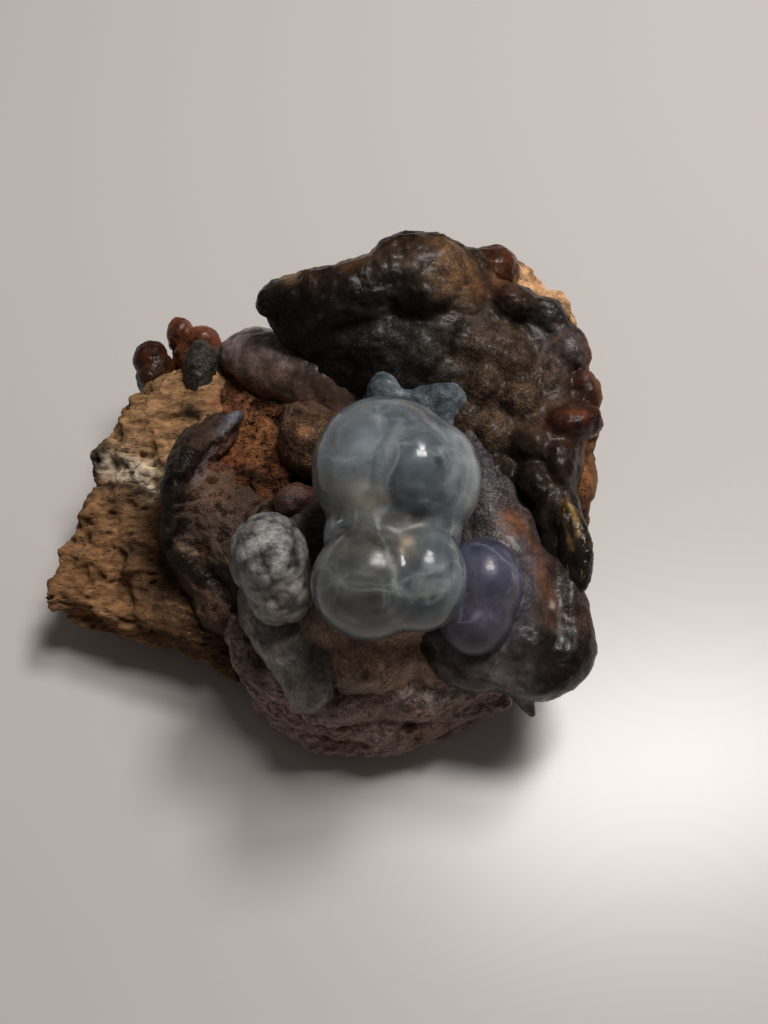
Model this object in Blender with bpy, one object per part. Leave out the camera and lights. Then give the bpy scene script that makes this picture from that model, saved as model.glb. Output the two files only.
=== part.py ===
"""Fire opal in matrix: a hand specimen of brown porous host rock that carries a dark botryoidal
crust of opal, with a see-through cluster of opal bubbles standing in the hollow of the crust.

Metres, +Z up, +X to the specimen's right, +Y to its back. The origin is on the flat rest face
under the rock, near the middle of the specimen. Sizes below are in millimetres."""

import math

import bmesh
import bpy
from mathutils import Matrix, Vector, noise

MM = 0.001

# Driving dimensions
GAP = 0.38
CUT_DEPTH = 20.0
CUT_WIDTH = 200.0
RIM_HEIGHT = 31.0
HOLLOW_HEIGHT = 20.0
LIP_HEIGHT = 23.5
BUBBLE_HEIGHT = 36.0
ROCK_GRAIN = 1.0
ROCK_GRAIN_LENGTH = 6.0
ROCK_PITS = 1.0
ROCK_PIT_LENGTH = 3.0
PEBBLE_SIZE = 4.4
PEBBLE_HEIGHT = 0.9
PEBBLE_CALM_X = -2.0
PEBBLE_FULL_X = 20.0
PEBBLE_LEAST = 0.3
SWAY = 1.4
SWAY_LENGTH = 8.0
SWAY_STEPS = ((0.0, 0.0, 0.0), (31.4, 7.2, 5.9), (3.7, 57.1, 23.3))
CRUST_SKIN = 0.7
BUBBLE_SKIN = 0.35
ROCK_SKIN = 0.9

# Triangles given to each piece
ROCK_TRIANGLES = 2900
CRUST_TRIANGLES = 4000
BUBBLE_TRIANGLES = 860
KNOB_TRIANGLES = 300

# The rock: each block is the hull of its corners (x, y, z)
HEART = [
    (-19, -8, -2), (-8, -21, -2), (14, -24, -2), (26, -17, -2), (31, 4, -2), (26, 24, -2),
    (8, 31, -2), (-10, 25, -2), (-20, 12, -2), (-21, -10, 12), (-9, -22, 11), (12, -24, 11),
    (29, -17, 14), (35, 4, 16), (32, 22, 18), (10, 35, 18), (-9, 28, 16), (-17, -6, 16),
    (0, -14, 17), (22, -10, 17), (26, 10, 19), (0, 16, 18),
]
BACK_BLOCK = [
    (2, 34, 11), (14, 38, 13), (27.5, 35.6, 13), (34.4, 24, 13), (37.1, 8, 13), (36, -5, 15),
    (8, 34, 27), (18, 35.8, 28.8), (27.4, 35.4, 29), (30.6, 32.8, 29.1), (33.6, 27.9, 28.8), (35.6, 23.1, 27.6),
    (36.7, 18.3, 25.8), (37.6, 13.3, 24.5), (37.1, 6, 23), (36.4, 0, 22), (12, 24, 20), (26, 16, 20),
    (30, 4, 20), (32, -6, 18),
]
LOW_SLAB = [
    (-40, -11.5, 10.6), (-38, -13.2, 6.5), (-37.6, -4, 13.6), (-35.4, 3, 14.8), (-30, 3, 17.4), (-20, 3, 18.4),
    (-15, -12, 14), (-24, -15.5, 12.5), (-30, -15.6, 4.5), (-19, -17, 3.5), (-16, 2, 2), (-33, 1, 6),
    (-12, -20, 8), (-13, -21.5, 4.5),
]
HIGH_SLAB = [
    (-36, 9.0, 14.9), (-34.5, 8, 8), (-34.6, 4.2, 14), (-30.6, 13.2, 17.6), (-27.4, 17.6, 18.4),
    (-26.8, 22.4, 14), (-26, 28.0, 13), (-18.5, 26, 18.5), (-14.5, 10, 20), (-22, 3.4, 19.8), (-27, 18, 7),
    (-17, 25, 2), (-14, 0, 2), (-29, 4, 4), (-17, 30, 13),
]
POCKET = [
    (-19, 17, 17.5), (-16.4, 23.8, 16.4), (-10.4, 23.0, 17.6), (-4, 16, 20.5), (-3.5, 4, 22), (-6, 0.5, 21.5),
    (-15, -2.0, 20.4), (-10, -3.0, 20.8), (-18, -1, 19), (-16, 8, 20.6), (-12, 8, 10), (-8, 0, 10),
    (-16, -8, 12), (-14.4, 21.4, 8),
]

# The crust: each roll is a rounded band through stations (x, y, z, radius)
RIM = [
    (-7.9, 26.4, RIM_HEIGHT - 0.6, 2.9), (-5.8, 26.1, RIM_HEIGHT - 0.3, 3.3), (-3.0, 26.3, RIM_HEIGHT - 1, 4.2),
    (2.0, 26.2, RIM_HEIGHT - 2, 5.8), (7.1, 27.2, RIM_HEIGHT - 1, 6.4), (12.1, 29.2, RIM_HEIGHT, 6.5),
    (17.5, 28.9, RIM_HEIGHT - 1, 6.0), (22.5, 27.5, RIM_HEIGHT - 5, 5.4), (26.6, 23.4, RIM_HEIGHT - 6, 4.8),
    (29.6, 19.3, RIM_HEIGHT - 7, 4.8), (31.2, 13.6, RIM_HEIGHT - 8, 4.8), (31.2, 8.0, RIM_HEIGHT - 8.6, 4.6),
    (31.0, 1.3, RIM_HEIGHT - 9, 4.2), (31.3, -6.0, RIM_HEIGHT - 10.2, 3.9), (31.0, -12.0, RIM_HEIGHT - 12, 3.6),
]
CURTAIN = [
    (-6.6, 25.0, 27.4, 2.8), (-2.2, 24.4, 26.2, 4.7), (4.0, 23.6, 25.6, 6.2), (11.0, 23.4, 26.0, 7.0),
    (18.0, 22.0, 25.6, 6.4), (24.0, 19.4, 24.2, 5.8), (28.0, 13.0, 22.8, 5.0), (28.8, 5.0, 22.0, 4.6),
]
INNER_FACE = [
    (1.0, 20.4, 21.5, 4.4), (8.0, 19.2, 22.5, 5.8), (15.5, 18.4, 23.0, 6.4), (21.4, 15.4, 22.5, 6.2),
    (25.6, 9.4, 21.0, 5.6), (27.8, 3.0, 19.6, 5.0), (30.0, -4.0, 17.6, 4.4), (30.4, -12.0, 17.6, 4.2),
    (28.4, -19.0, 17.6, 4.4),
]
OUTER_FACE = [
    (33.2, 15.0, 18.0, 4.4), (33.0, 6.0, 17.0, 4.4), (32.2, -3.0, 16.0, 4.2), (31.6, -11.0, 15.0, 4.2),
    (29.4, -17.0, 13.0, 4.2), (24.5, -21.0, 11.0, 4.0),
]
SHEET = [
    (19.4, 8.4, 21.4, 4.2), (20.6, 2.6, 22.0, 4.2), (21.8, -4.4, 22.2, 4.2), (23.2, -11.0, 22.4, 4.2),
    (24.8, -17.0, 22.6, 4.4), (26.0, -22.0, 21.8, 4.2), (26.8, -25.6, 21.4, 2.9),
]
RIDGE = [
    (-13.2, 11.8, 22.8, 0.9), (-15.6, 7.9, 24.2, 1.2), (-18.0, 3.1, 24.6, 1.4), (-20.2, -0.7, 23.6, 1.6),
    (-21.2, -4.2, 21.6, 1.7), (-21.2, -7.6, 18.8, 1.7), (-19.7, -10.4, 16.0, 1.6), (-16.7, -12.2, 14.2, 1.5),
    (-13.4, -13.2, 13.4, 1.2),
]
RIDGE_SIDE = [
    (-15.6, 10.4, 21.2, 2.3), (-17.8, 6.6, 22.2, 2.6), (-20.0, 2.2, 21.6, 2.9), (-19.8, -2.0, 19.6, 3.2),
    (-19.8, -5.8, 17.6, 3.3), (-18.8, -9.0, 15.0, 3.3), (-16.6, -11.6, 12.8, 3.3), (-13.0, -14.0, 11.4, 3.2),
]
BROWN_SLOPE = [
    (-15.0, 4.6, 18.0, 2.2), (-16.2, 0.8, 18.9, 2.6), (-16.6, -3.0, 18.8, 3.2), (-15.4, -6.6, 17.6, 3.4),
    (-12.0, -9.6, 16.6, 3.6), (-8.6, -13.4, 15.6, 3.8), (-6.0, -17.0, 13.6, 4.0),
]
PINK_ROLL = [
    (-16.4, 24.8, 17.2, 2.4), (-12.8, 24.0, 18.6, 3.9), (-8.6, 22.2, 19.4, 5.0), (-3.8, 20.4, 19.4, 5.6),
    (1.4, 18.0, 18.8, 5.2),
]
LOW_BULB = [(-8.4, -17.6, 19.6, 3.2), (-5.6, -21.2, 19.0, 3.8), (-1.8, -25.2, 17.8, 4.4)]
LIP_EDGE = [
    (13.4, -22.0, 21.7, 1.3), (18.4, -24.8, 21.4, 1.5), (22.8, -27.0, 20.9, 1.7), (27.0, -28.0, 20.4, 1.9),
    (30.4, -25.9, 20.4, 2.1), (32.2, -22.2, 20.6, 2.2), (33.0, -17.0, 20.4, 2.4),
]
SKIRT_FOLDS = [
    [(-11.5, -17.0, 13.5, 2.2), (-9.0, -21.4, 13.2, 2.5), (-5.5, -25.2, 13.2, 2.6), (1.0, -27.6, 13.0, 2.9),
     (8.0, -26.8, 14.0, 3.2), (15.0, -26.0, 13.0, 2.9), (21.0, -24.4, 12.6, 2.7)],
    [(-11.2, -19.4, 9.4, 2.2), (-8.0, -23.6, 9.0, 2.4), (-3.6, -27.4, 9.0, 2.5), (3.6, -29.2, 9.4, 2.7),
     (12.0, -28.0, 9.4, 2.6), (19.0, -26.2, 9.2, 2.4), (24.0, -24.4, 9.0, 2.1)],
    [(-8.6, -22.4, 5.2, 2.1), (-4.6, -26.4, 4.6, 2.2), (0.0, -29.2, 4.4, 2.3), (5.6, -30.0, 4.6, 2.3),
     (12.6, -28.6, 4.8, 2.2), (19.6, -26.0, 5.4, 2.0)],
]
TAIL = [(24.6, -24.0, 17.5, 2.6), (26.0, -27.4, 15.6, 1.6), (27.2, -29.6, 14.2, 0.8)]
STRIPED_FIN = [
    (31.6, -2.6, 23.4, 1.8), (32.4, -6.4, 24.4, 2.3), (33.0, -10.4, 24.0, 2.4), (33.2, -14.0, 22.4, 2.1),
]

# Lobes of the crust (x, y, z, radius across X, across Y, up)
HOLLOW_LOBES = [
    (9.0, -4.0, HOLLOW_HEIGHT, 9.0, 9.0, 8.6), (9.0, -16.0, HOLLOW_HEIGHT, 8.8, 7.2, 8.4),
    (-2.0, -8.0, 18.0, 8.0, 9.0, 6.5), (-6.5, -15.5, 19.5, 6.0, 5.6, 6.5), (18.0, -4.0, 18.0, 7.0, 10.0, 5.6),
    (18.6, -17.0, 18.5, 6.2, 6.6, 6.0), (7.0, 9.0, 17.5, 9.0, 7.0, 6.0), (17.0, 7.0, 18.0, 7.0, 6.0, 6.0),
    (6.5, -23.4, 17.0, 6.6, 4.6, 5.4), (14.5, -22.6, 14.6, 6.6, 4.2, 5.4), (0.4, -18.6, 19.4, 5.6, 5.2, 6.2),
    (2.0, 2.0, 18.6, 5.0, 6.0, 5.6),
]
SHEET_LOBES = [
    (18.4, 5.4, 19.4, 6.0, 5.6, 5.2), (20.2, -1.0, 19.8, 6.6, 7.0, 5.4), (22.4, -7.6, 20.0, 6.6, 7.4, 5.6),
    (24.6, -13.6, 20.2, 6.4, 7.4, 5.8),
]
BROWN_FLOOR = [
    (-12.8, -3.2, 18.6, 5.0, 4.8, 3.2), (-8.0, -5.0, 19.2, 5.2, 4.8, 3.6), (-11.6, -7.8, 17.8, 5.0, 4.6, 3.4),
    (-3.0, 12.2, 18.4, 5.2, 5.4, 4.6), (-3.0, 16.0, 17.2, 4.6, 4.2, 4.6),
]
BROWN_DOMES = [
    (-1.2, 6.2, 22.0, 5.8, 5.6, 6.4), (-4.2, -3.0, 22.6, 3.2, 3.0, 4.0),
]
BLUE_DOMES = [(8.4, 14.0, 22.0, 3.8, 3.6, 5.4), (15.4, 11.4, 21.8, 6.4, 5.2, 6.6)]
LIP_LOBES = [
    (21.0, -21.6, LIP_HEIGHT - 4.2, 8.8, 7.0, 4.8), (26.4, -16.8, LIP_HEIGHT - 3.6, 7.0, 9.6, 5.2),
    (27.2, -21.8, LIP_HEIGHT - 4.4, 7.8, 8.2, 5.4), (31.0, -15.4, LIP_HEIGHT - 5.0, 3.9, 9.4, 6.0),
]
WALL_BUMPS = [
    (13.4, 18.6, 27.2, 4.0, 3.6, 3.8), (20.4, 19.6, 27.6, 3.8, 3.6, 3.6), (25.4, 17.4, 27.0, 3.6, 3.2, 3.2),
    (6.6, 19.6, 26.6, 4.4, 3.8, 4.4), (21.4, 12.6, 25.6, 3.8, 3.4, 3.6), (26.8, 11.4, 26.0, 3.4, 3.2, 3.0),
    (23.6, 6.8, 24.6, 3.6, 3.2, 3.2), (28.0, 5.6, 24.6, 3.2, 3.2, 3.0), (28.4, 0.2, 23.8, 3.0, 3.4, 2.8),
    (10.0, 29.6, 31.8, 4.4, 3.8, 4.2), (17.6, 30.6, 32.0, 3.4, 3.0, 3.4), (3.6, 28.0, 31.2, 3.6, 3.2, 3.6),
    (-3.4, 27.2, 32.2, 2.4, 2.2, 2.4), (18.4, 24.8, 30.4, 3.6, 3.4, 3.4), (12.6, 24.4, 32.4, 4.4, 4.0, 4.2),
    (19.0, 9.6, 23.4, 4.2, 3.8, 3.8), (23.2, 2.4, 22.0, 3.4, 3.8, 3.4), (23.6, 21.6, 28.0, 2.8, 2.4, 2.6),
]
BEADS = [
    (23.0, 31.4, 29.9, 5.0, 3.4, 3.2), (25.8, 25.5, 29.6, 4.2, 3.5, 3.4), (30.4, 24.0, 28.4, 2.9, 3.1, 2.7),
    (33.5, 19.7, 26.8, 3.7, 3.6, 3.2), (35.6, 13.8, 24.8, 2.7, 4.0, 3.0), (33.6, 8.2, 25.8, 3.7, 2.9, 2.9),
    (31.5, 2.2, 25.4, 2.5, 3.2, 2.5),
]

# The see-through bubbles (x, y, z, radius across X, across Y, up)
BUBBLES = [
    (7.9, -5.2, BUBBLE_HEIGHT, 9.2, 9.3, 9.0), (11.4, -7.4, BUBBLE_HEIGHT + 2.9, 5.4, 6.4, 6.4),
    (14.6, -6.8, BUBBLE_HEIGHT + 0.5, 5.1, 6.8, 6.6), (5.9, -20.0, BUBBLE_HEIGHT - 1.5, 6.9, 6.7, 7.4),
    (12.3, -19.4, BUBBLE_HEIGHT - 1.5, 5.3, 6.3, 6.6), (8.7, -13.4, BUBBLE_HEIGHT - 2.2, 8.4, 5.6, 6.6),
]
KNOB = [(-6.7, -14.2, 30.0, 4.9, 5.4, 5.6), (-5.4, -17.4, 26.6, 4.3, 4.4, 4.4)]
DOME = [(20.2, -16.4, 26.6, 5.2, 5.8, 6.0), (19.2, -20.4, 25.4, 4.8, 5.0, 4.6)]

# The knobs at the slab's top edge
AMBER = [
    (-23.4, 30.0, 15.8, 2.3, 2.7, 3.7), (-20.0, 28.4, 16.2, 2.7, 2.6, 3.4), (-21.6, 27.4, 14.6, 3.2, 3.0, 3.4),
]
BLADE = [(-19.6, 22.2, 18.0, 2.6, 5.1, 4.0)]
BROWN = [
    (-27.9, 26.2, 15.2, 2.7, 2.9, 3.3), (-27.0, 24.6, 14.6, 2.8, 2.8, 3.2), (-27.6, 22.8, 15.0, 2.3, 2.4, 2.8),
]


def clear_scene():
    for obj in list(bpy.data.objects):
        bpy.data.objects.remove(obj, do_unlink=True)


def material(name, colour, roughness, transmission=0.0):
    """A Principled material, with see-through opal by plain transmission."""
    made = bpy.data.materials.new(name)
    made.use_nodes = True
    shader = made.node_tree.nodes["Principled BSDF"]
    shader.inputs["Base Color"].default_value = (*colour, 1.0)
    shader.inputs["Roughness"].default_value = roughness
    shader.inputs["Metallic"].default_value = 0.0
    shader.inputs["IOR"].default_value = 1.45
    shader.inputs["Transmission Weight"].default_value = transmission
    return made


def new_object(name, bm):
    mesh = bpy.data.meshes.new(name)
    bm.to_mesh(mesh)
    bm.free()
    obj = bpy.data.objects.new(name, mesh)
    bpy.context.scene.collection.objects.link(obj)
    return obj


def settle(obj):
    """Gives the object the mesh that its modifiers make, and removes them."""
    graph = bpy.context.evaluated_depsgraph_get()
    mesh = bpy.data.meshes.new_from_object(obj.evaluated_get(graph))
    obj.modifiers.clear()
    obj.data = mesh


def add_lobe(bm, lobe, subdivisions=3):
    x, y, z, rx, ry, rz = lobe
    place = Matrix.Translation(Vector((x, y, z)) * MM) @ Matrix.Diagonal((rx * MM, ry * MM, rz * MM, 1.0))
    bmesh.ops.create_icosphere(bm, subdivisions=subdivisions, radius=1.0, matrix=place)


def between(before, start, end, after, t):
    """A point of the smooth curve that runs through the stations start and end."""
    return (
        2 * start
        + (end - before) * t
        + (2 * before - 5 * start + 4 * end - after) * t * t
        + (3 * start - before - 3 * end + after) * t * t * t
    ) / 2


def add_roll(bm, stations, spacing=0.45):
    """A rounded band: balls set close together along a smooth curve through the stations."""
    rows = [Vector(station) for station in stations]
    rows = [2 * rows[0] - rows[1], *rows, 2 * rows[-1] - rows[-2]]
    for before, start, end, after in zip(rows, rows[1:], rows[2:], rows[3:]):
        length = (end.xyz - start.xyz).length
        steps = max(1, math.ceil(length / (spacing * min(start.w, end.w))))
        for step in range(steps):
            x, y, z, radius = between(before, start, end, after, step / steps)
            add_lobe(bm, (x, y, z, radius, radius, radius), subdivisions=2)
    x, y, z, radius = stations[-1]
    add_lobe(bm, (x, y, z, radius, radius, radius))


def add_block(bm, corners):
    """A broken block of rock: the hull of its corners."""
    made = [bm.verts.new(Vector(corner) * MM) for corner in corners]
    hull = bmesh.ops.convex_hull(bm, input=made)
    spare = set(hull["geom_interior"]) | set(hull["geom_unused"])
    bmesh.ops.delete(bm, geom=[e for e in spare if isinstance(e, bmesh.types.BMVert)], context="VERTS")


def fuse(obj, voxel, rounding):
    """Joins the overlapping shapes of an object into one skin, and rounds the joins."""
    remesh = obj.modifiers.new("Fuse", "REMESH")
    remesh.mode = "VOXEL"
    remesh.voxel_size = voxel * MM
    smooth = obj.modifiers.new("Round", "SMOOTH")
    smooth.factor = 0.5
    smooth.iterations = rounding
    settle(obj)


def thin_out(obj, triangles):
    """Brings the mesh down to about this many triangles."""
    count = sum(len(face.vertices) - 2 for face in obj.data.polygons)
    decimate = obj.modifiers.new("Facets", "DECIMATE")
    decimate.ratio = min(1.0, triangles / count)
    settle(obj)


def roughen(obj):
    """Broken-rock relief: ledges along the rock's grain, and pits."""
    grain = Vector((0.5, 1.0, 1.8))
    normals = [vertex.normal.copy() for vertex in obj.data.vertices]
    for vertex, normal in zip(obj.data.vertices, normals):
        spot = vertex.co / MM
        ledge = noise.noise(spot * grain / ROCK_GRAIN_LENGTH)
        pit = noise.noise(spot / ROCK_PIT_LENGTH)
        lift = ROCK_GRAIN * (1.0 - 2.0 * abs(ledge)) - ROCK_GRAIN / 2 - ROCK_PITS * max(0.0, pit) * 2
        vertex.co += normal * lift * MM


def sway(obj):
    """Takes the regularity out of a grown shape: everything drifts a little, smoothly from place to place."""
    for vertex in obj.data.vertices:
        place = vertex.co / (SWAY_LENGTH * MM)
        drift = [noise.noise(place + Vector(step)) for step in SWAY_STEPS]
        vertex.co += Vector(drift) * SWAY * MM


def pebble(obj):
    """Botryoidal relief: rounded bumps that meet in creases, bold on the right and faint on the left."""
    normals = [vertex.normal.copy() for vertex in obj.data.vertices]
    for vertex, normal in zip(obj.data.vertices, normals):
        distances, _ = noise.voronoi(vertex.co / (PEBBLE_SIZE * MM))
        bold = (vertex.co.x / MM - PEBBLE_CALM_X) / (PEBBLE_FULL_X - PEBBLE_CALM_X)
        height = PEBBLE_HEIGHT * min(1.0, max(PEBBLE_LEAST, bold))
        vertex.co += normal * height * (0.5 - distances[0] ** 2) * MM


def grown(obj, gap):
    """A hidden copy of a piece, thicker all over by the gap, which cuts its neighbours."""
    cutter = bpy.data.objects.new(obj.name + "_room", obj.data.copy())
    bpy.context.scene.collection.objects.link(cutter)
    moved = [vertex.co + vertex.normal * gap * MM for vertex in cutter.data.vertices]
    for vertex, place in zip(cutter.data.vertices, moved):
        vertex.co = place
    cutter.hide_render = True
    cutter.display_type = "WIRE"
    return cutter


def cut(obj, cutter):
    boolean = obj.modifiers.new("Cut", "BOOLEAN")
    boolean.operation = "DIFFERENCE"
    boolean.solver = "EXACT"
    boolean.use_self = True
    boolean.object = cutter
    settle(obj)
    keep_largest(obj)


def keep_largest(obj):
    """Drops the crumbs that a cut leaves beside the piece."""
    bm = bmesh.new()
    bm.from_mesh(obj.data)
    left = set(bm.faces)
    islands = []
    while left:
        fresh = {left.pop()}
        island = set(fresh)
        while fresh:
            fresh = {f for face in fresh for edge in face.edges for f in edge.link_faces} - island
            island |= fresh
        left -= island
        islands.append(list(island))
    islands.sort(key=len)
    for crumb in islands[:-1]:
        bmesh.ops.delete(bm, geom=crumb, context="FACES")
    bm.to_mesh(obj.data)
    bm.free()


def cut_flat(obj):
    """Cuts the underside flat at the table."""
    bm = bmesh.new()
    bmesh.ops.create_cube(bm, size=1.0)
    slab = new_object(obj.name + "_table", bm)
    slab.data.transform(Matrix.Diagonal((CUT_WIDTH * MM, CUT_WIDTH * MM, CUT_DEPTH * MM, 1.0)))
    slab.data.transform(Matrix.Translation((0.0, 0.0, -CUT_DEPTH * MM / 2)))
    slab.hide_render = True
    slab.display_type = "WIRE"
    cut(obj, slab)


def finish(obj, made_of, sharp_above):
    obj.data.materials.clear()
    obj.data.materials.append(made_of)
    obj.data.shade_smooth()
    obj.data.set_sharp_from_angle(angle=math.radians(sharp_above))


def make_matrix():
    bm = bmesh.new()
    for block in (HEART, BACK_BLOCK, LOW_SLAB, HIGH_SLAB, POCKET):
        add_block(bm, block)
    obj = new_object("matrix", bm)
    fuse(obj, ROCK_SKIN, rounding=3)
    sway(obj)
    roughen(obj)
    fuse(obj, ROCK_SKIN, rounding=0)
    thin_out(obj, ROCK_TRIANGLES)
    cut_flat(obj)
    finish(obj, material("brown porous rock", (0.22, 0.13, 0.07), 0.9), sharp_above=35)
    return obj


def make_crust(matrix, matrix_room):
    bm = bmesh.new()
    wall = [RIM, CURTAIN, INNER_FACE, OUTER_FACE, STRIPED_FIN]
    left = [RIDGE, RIDGE_SIDE, BROWN_SLOPE, PINK_ROLL]
    front = [SHEET, LOW_BULB, LIP_EDGE, TAIL, *SKIRT_FOLDS]
    for roll in wall + left + front:
        add_roll(bm, roll)
    domes = BROWN_DOMES + BLUE_DOMES + WALL_BUMPS + BEADS
    for lobe in HOLLOW_LOBES + SHEET_LOBES + BROWN_FLOOR + LIP_LOBES + domes:
        add_lobe(bm, lobe)
    obj = new_object("opal_crust", bm)
    fuse(obj, CRUST_SKIN, rounding=2)
    sway(obj)
    pebble(obj)
    thin_out(obj, CRUST_TRIANGLES)
    cut(obj, matrix_room)
    cut(obj, matrix)
    finish(obj, material("dark botryoidal opal", (0.055, 0.035, 0.025), 0.35), sharp_above=50)
    return obj


def make_growth(name, lobes, triangles, cutters, made_of):
    """A knob, dome or cluster that stands in the crust or on the rock."""
    bm = bmesh.new()
    for lobe in lobes:
        add_lobe(bm, lobe, subdivisions=4)
    obj = new_object(name, bm)
    fuse(obj, BUBBLE_SKIN, rounding=1)
    thin_out(obj, triangles)
    for cutter in cutters:
        cut(obj, cutter)
    finish(obj, made_of, sharp_above=60)
    return obj


def main():
    clear_scene()
    matrix = make_matrix()
    matrix_room = grown(matrix, GAP)
    crust = make_crust(matrix, matrix_room)
    crust_room = grown(crust, GAP)

    clear_opal = material("see-through opal", (0.62, 0.68, 0.70), 0.12, transmission=0.85)
    bubbles = make_growth("opal_bubbles", BUBBLES, BUBBLE_TRIANGLES, [crust_room, matrix_room], clear_opal)
    rooms = [crust_room, matrix_room, grown(bubbles, GAP)]
    grey_opal = material("mottled grey opal", (0.30, 0.31, 0.32), 0.4)
    make_growth("grey_knob", KNOB, KNOB_TRIANGLES, rooms, grey_opal)
    violet_opal = material("violet-blue opal", (0.10, 0.11, 0.17), 0.2, transmission=0.4)
    make_growth("violet_dome", DOME, KNOB_TRIANGLES, rooms, violet_opal)
    amber_opal = material("amber opal", (0.20, 0.07, 0.03), 0.3)
    amber = make_growth("amber_knobs", AMBER + BLADE, KNOB_TRIANGLES, [crust_room, matrix_room], amber_opal)
    brown_opal = material("brown opal", (0.10, 0.045, 0.02), 0.35)
    make_growth("brown_knob", BROWN, KNOB_TRIANGLES, [matrix_room, grown(amber, GAP)], brown_opal)


main()
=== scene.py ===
"""Fire opal in matrix: a hand specimen of brown porous host rock under a dark botryoidal crust of
opal, with a see-through cluster of opal bubbles in the hollow of the crust.

Metres, +Z up, +X to the specimen's right, +Y to its back. Shape lists are in millimetres."""

import math

import bmesh
import bpy
import numpy as np
from bpy.props import FloatProperty, FloatVectorProperty, IntProperty, PointerProperty
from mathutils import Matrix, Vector, noise
from mathutils.bvhtree import BVHTree


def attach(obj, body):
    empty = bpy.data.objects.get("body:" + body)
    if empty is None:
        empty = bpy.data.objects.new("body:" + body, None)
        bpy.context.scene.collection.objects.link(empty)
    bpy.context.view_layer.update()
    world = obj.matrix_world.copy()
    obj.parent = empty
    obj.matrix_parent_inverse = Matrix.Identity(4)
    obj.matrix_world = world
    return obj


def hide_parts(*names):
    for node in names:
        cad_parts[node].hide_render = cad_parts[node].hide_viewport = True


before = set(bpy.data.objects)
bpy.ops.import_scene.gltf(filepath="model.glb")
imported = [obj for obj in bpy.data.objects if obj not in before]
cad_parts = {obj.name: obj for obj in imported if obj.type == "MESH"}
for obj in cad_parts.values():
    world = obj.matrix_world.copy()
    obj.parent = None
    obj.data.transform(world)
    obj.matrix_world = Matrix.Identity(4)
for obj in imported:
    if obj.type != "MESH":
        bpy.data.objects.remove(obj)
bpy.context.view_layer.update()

bl_info = {
    "name": "Fire Opal in Matrix",
    "version": (1, 0, 0),
    "blender": (4, 5, 0),
    "location": "View3D > Sidebar > Specimen",
    "description": "Builds a hand specimen of botryoidal opal on porous host rock",
    "category": "Add Mesh",
}

MM = 0.001
BODY = "root"

# The camera, in metres and millimetres of lens, and its picture in pixels
CAMERA = Vector((0.0077, -0.0761, 0.1582))
TARGET = Vector((0.0077, -0.00265, 0.020))
AIM = (TARGET - CAMERA).to_track_quat("-Z", "Y")
LENS = 40.0
SENSOR = 36.0
PICTURE = (768, 1024)
# Where a place in the picture lies just past a solid, how far round it the nearest one is looked for
MISSES = (0, 3, 6, 9, 12, 16)
MISS_TURNS = 12

# The lamps: name, place and size in metres, colour
LAMPS = (
    ("key", (0.162, 0.105, 0.50), (0.22, 0.11), (1.0, 0.97, 0.94)),
    ("window", (0.21, 0.27, 0.54), (0.12, 0.12), (1.0, 0.97, 0.94)),
    ("side", (0.42, 0.22, 0.16), (0.10, 0.10), (1.0, 0.97, 0.95)),
)
SKY_COLOUR = (1.0, 0.90, 0.84, 1.0)
FLOOR_REACH = 1.2

# Main heights, and the relief of the grown surfaces
RIM_HEIGHT = 31.0
HOLLOW_HEIGHT = 20.0
LIP_HEIGHT = 23.5
BUBBLE_HEIGHT = 36.0
PEBBLE_SIZE = 4.4
PEBBLE_CALM_X = -2.0
PEBBLE_FULL_X = 20.0
PEBBLE_LEAST = 0.3
SWAY = 1.4
SWAY_LENGTH = 8.0
GRAIN = 0.6 * MM
SWAY_STEPS = ((0.0, 0.0, 0.0), (31.4, 7.2, 5.9), (3.7, 57.1, 23.3))

# The rock: each block is the hull of its corners (x, y, z)
HEART = [
    (-19, -8, -2), (-8, -21, -2), (14, -24, -2), (26, -17, -2), (31, 4, -2), (26, 24, -2),
    (8, 31, -2), (-10, 25, -2), (-20, 12, -2), (-21, -10, 12), (-9, -22, 11), (12, -24, 11),
    (29, -17, 14), (35, 4, 16), (32, 22, 18), (10, 35, 18), (-9, 28, 16), (-17, -6, 16),
    (0, -14, 17), (22, -10, 17), (26, 10, 19), (0, 16, 18),
]
BACK_BLOCK = [
    (2, 34, 11), (14, 38, 13), (27.5, 35.6, 13), (34.4, 24, 13), (37.1, 8, 13), (36, -5, 15), (8, 34, 27),
    (18, 35.8, 28.8), (27.4, 35.4, 29), (30.6, 32.8, 29.1), (33.6, 27.9, 28.8), (35.6, 23.1, 27.6),
    (36.7, 18.3, 25.8), (37.6, 13.3, 24.5), (37.1, 6, 23), (36.4, 0, 22), (12, 24, 20), (26, 16, 20),
    (30, 4, 20), (32, -6, 18),
]
LOW_SLAB = [
    (-40, -11.5, 10.6), (-38, -13.2, 6.5), (-37.6, -4, 13.6), (-35.4, 3, 14.8), (-30, 3, 17.4),
    (-20, 3, 18.4), (-15, -12, 14), (-24, -15.5, 12.5), (-30, -15.6, 4.5), (-19, -17, 3.5), (-16, 2, 2),
    (-33, 1, 6), (-12, -20, 8), (-13, -21.5, 4.5),
]
HIGH_SLAB = [
    (-36, 9.0, 14.9), (-34.5, 8, 8), (-34.6, 4.2, 14), (-30.6, 13.2, 17.6), (-27.4, 17.6, 18.4),
    (-26.8, 22.4, 14), (-26, 28.0, 13), (-18.5, 26, 18.5), (-14.5, 10, 20), (-22, 3.4, 19.8), (-27, 18, 7),
    (-17, 25, 2), (-14, 0, 2), (-29, 4, 4), (-17, 30, 13),
]
POCKET = [
    (-19, 17, 17.5), (-16.4, 23.8, 16.4), (-10.4, 23.0, 17.6), (-4, 16, 20.5), (-3.5, 4, 22), (-6, 0.5, 21.5),
    (-15, -2.0, 20.4), (-10, -3.0, 20.8), (-18, -1, 19), (-16, 8, 20.6), (-12, 8, 10), (-8, 0, 10),
    (-16, -8, 12), (-14.4, 21.4, 8),
]

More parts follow.
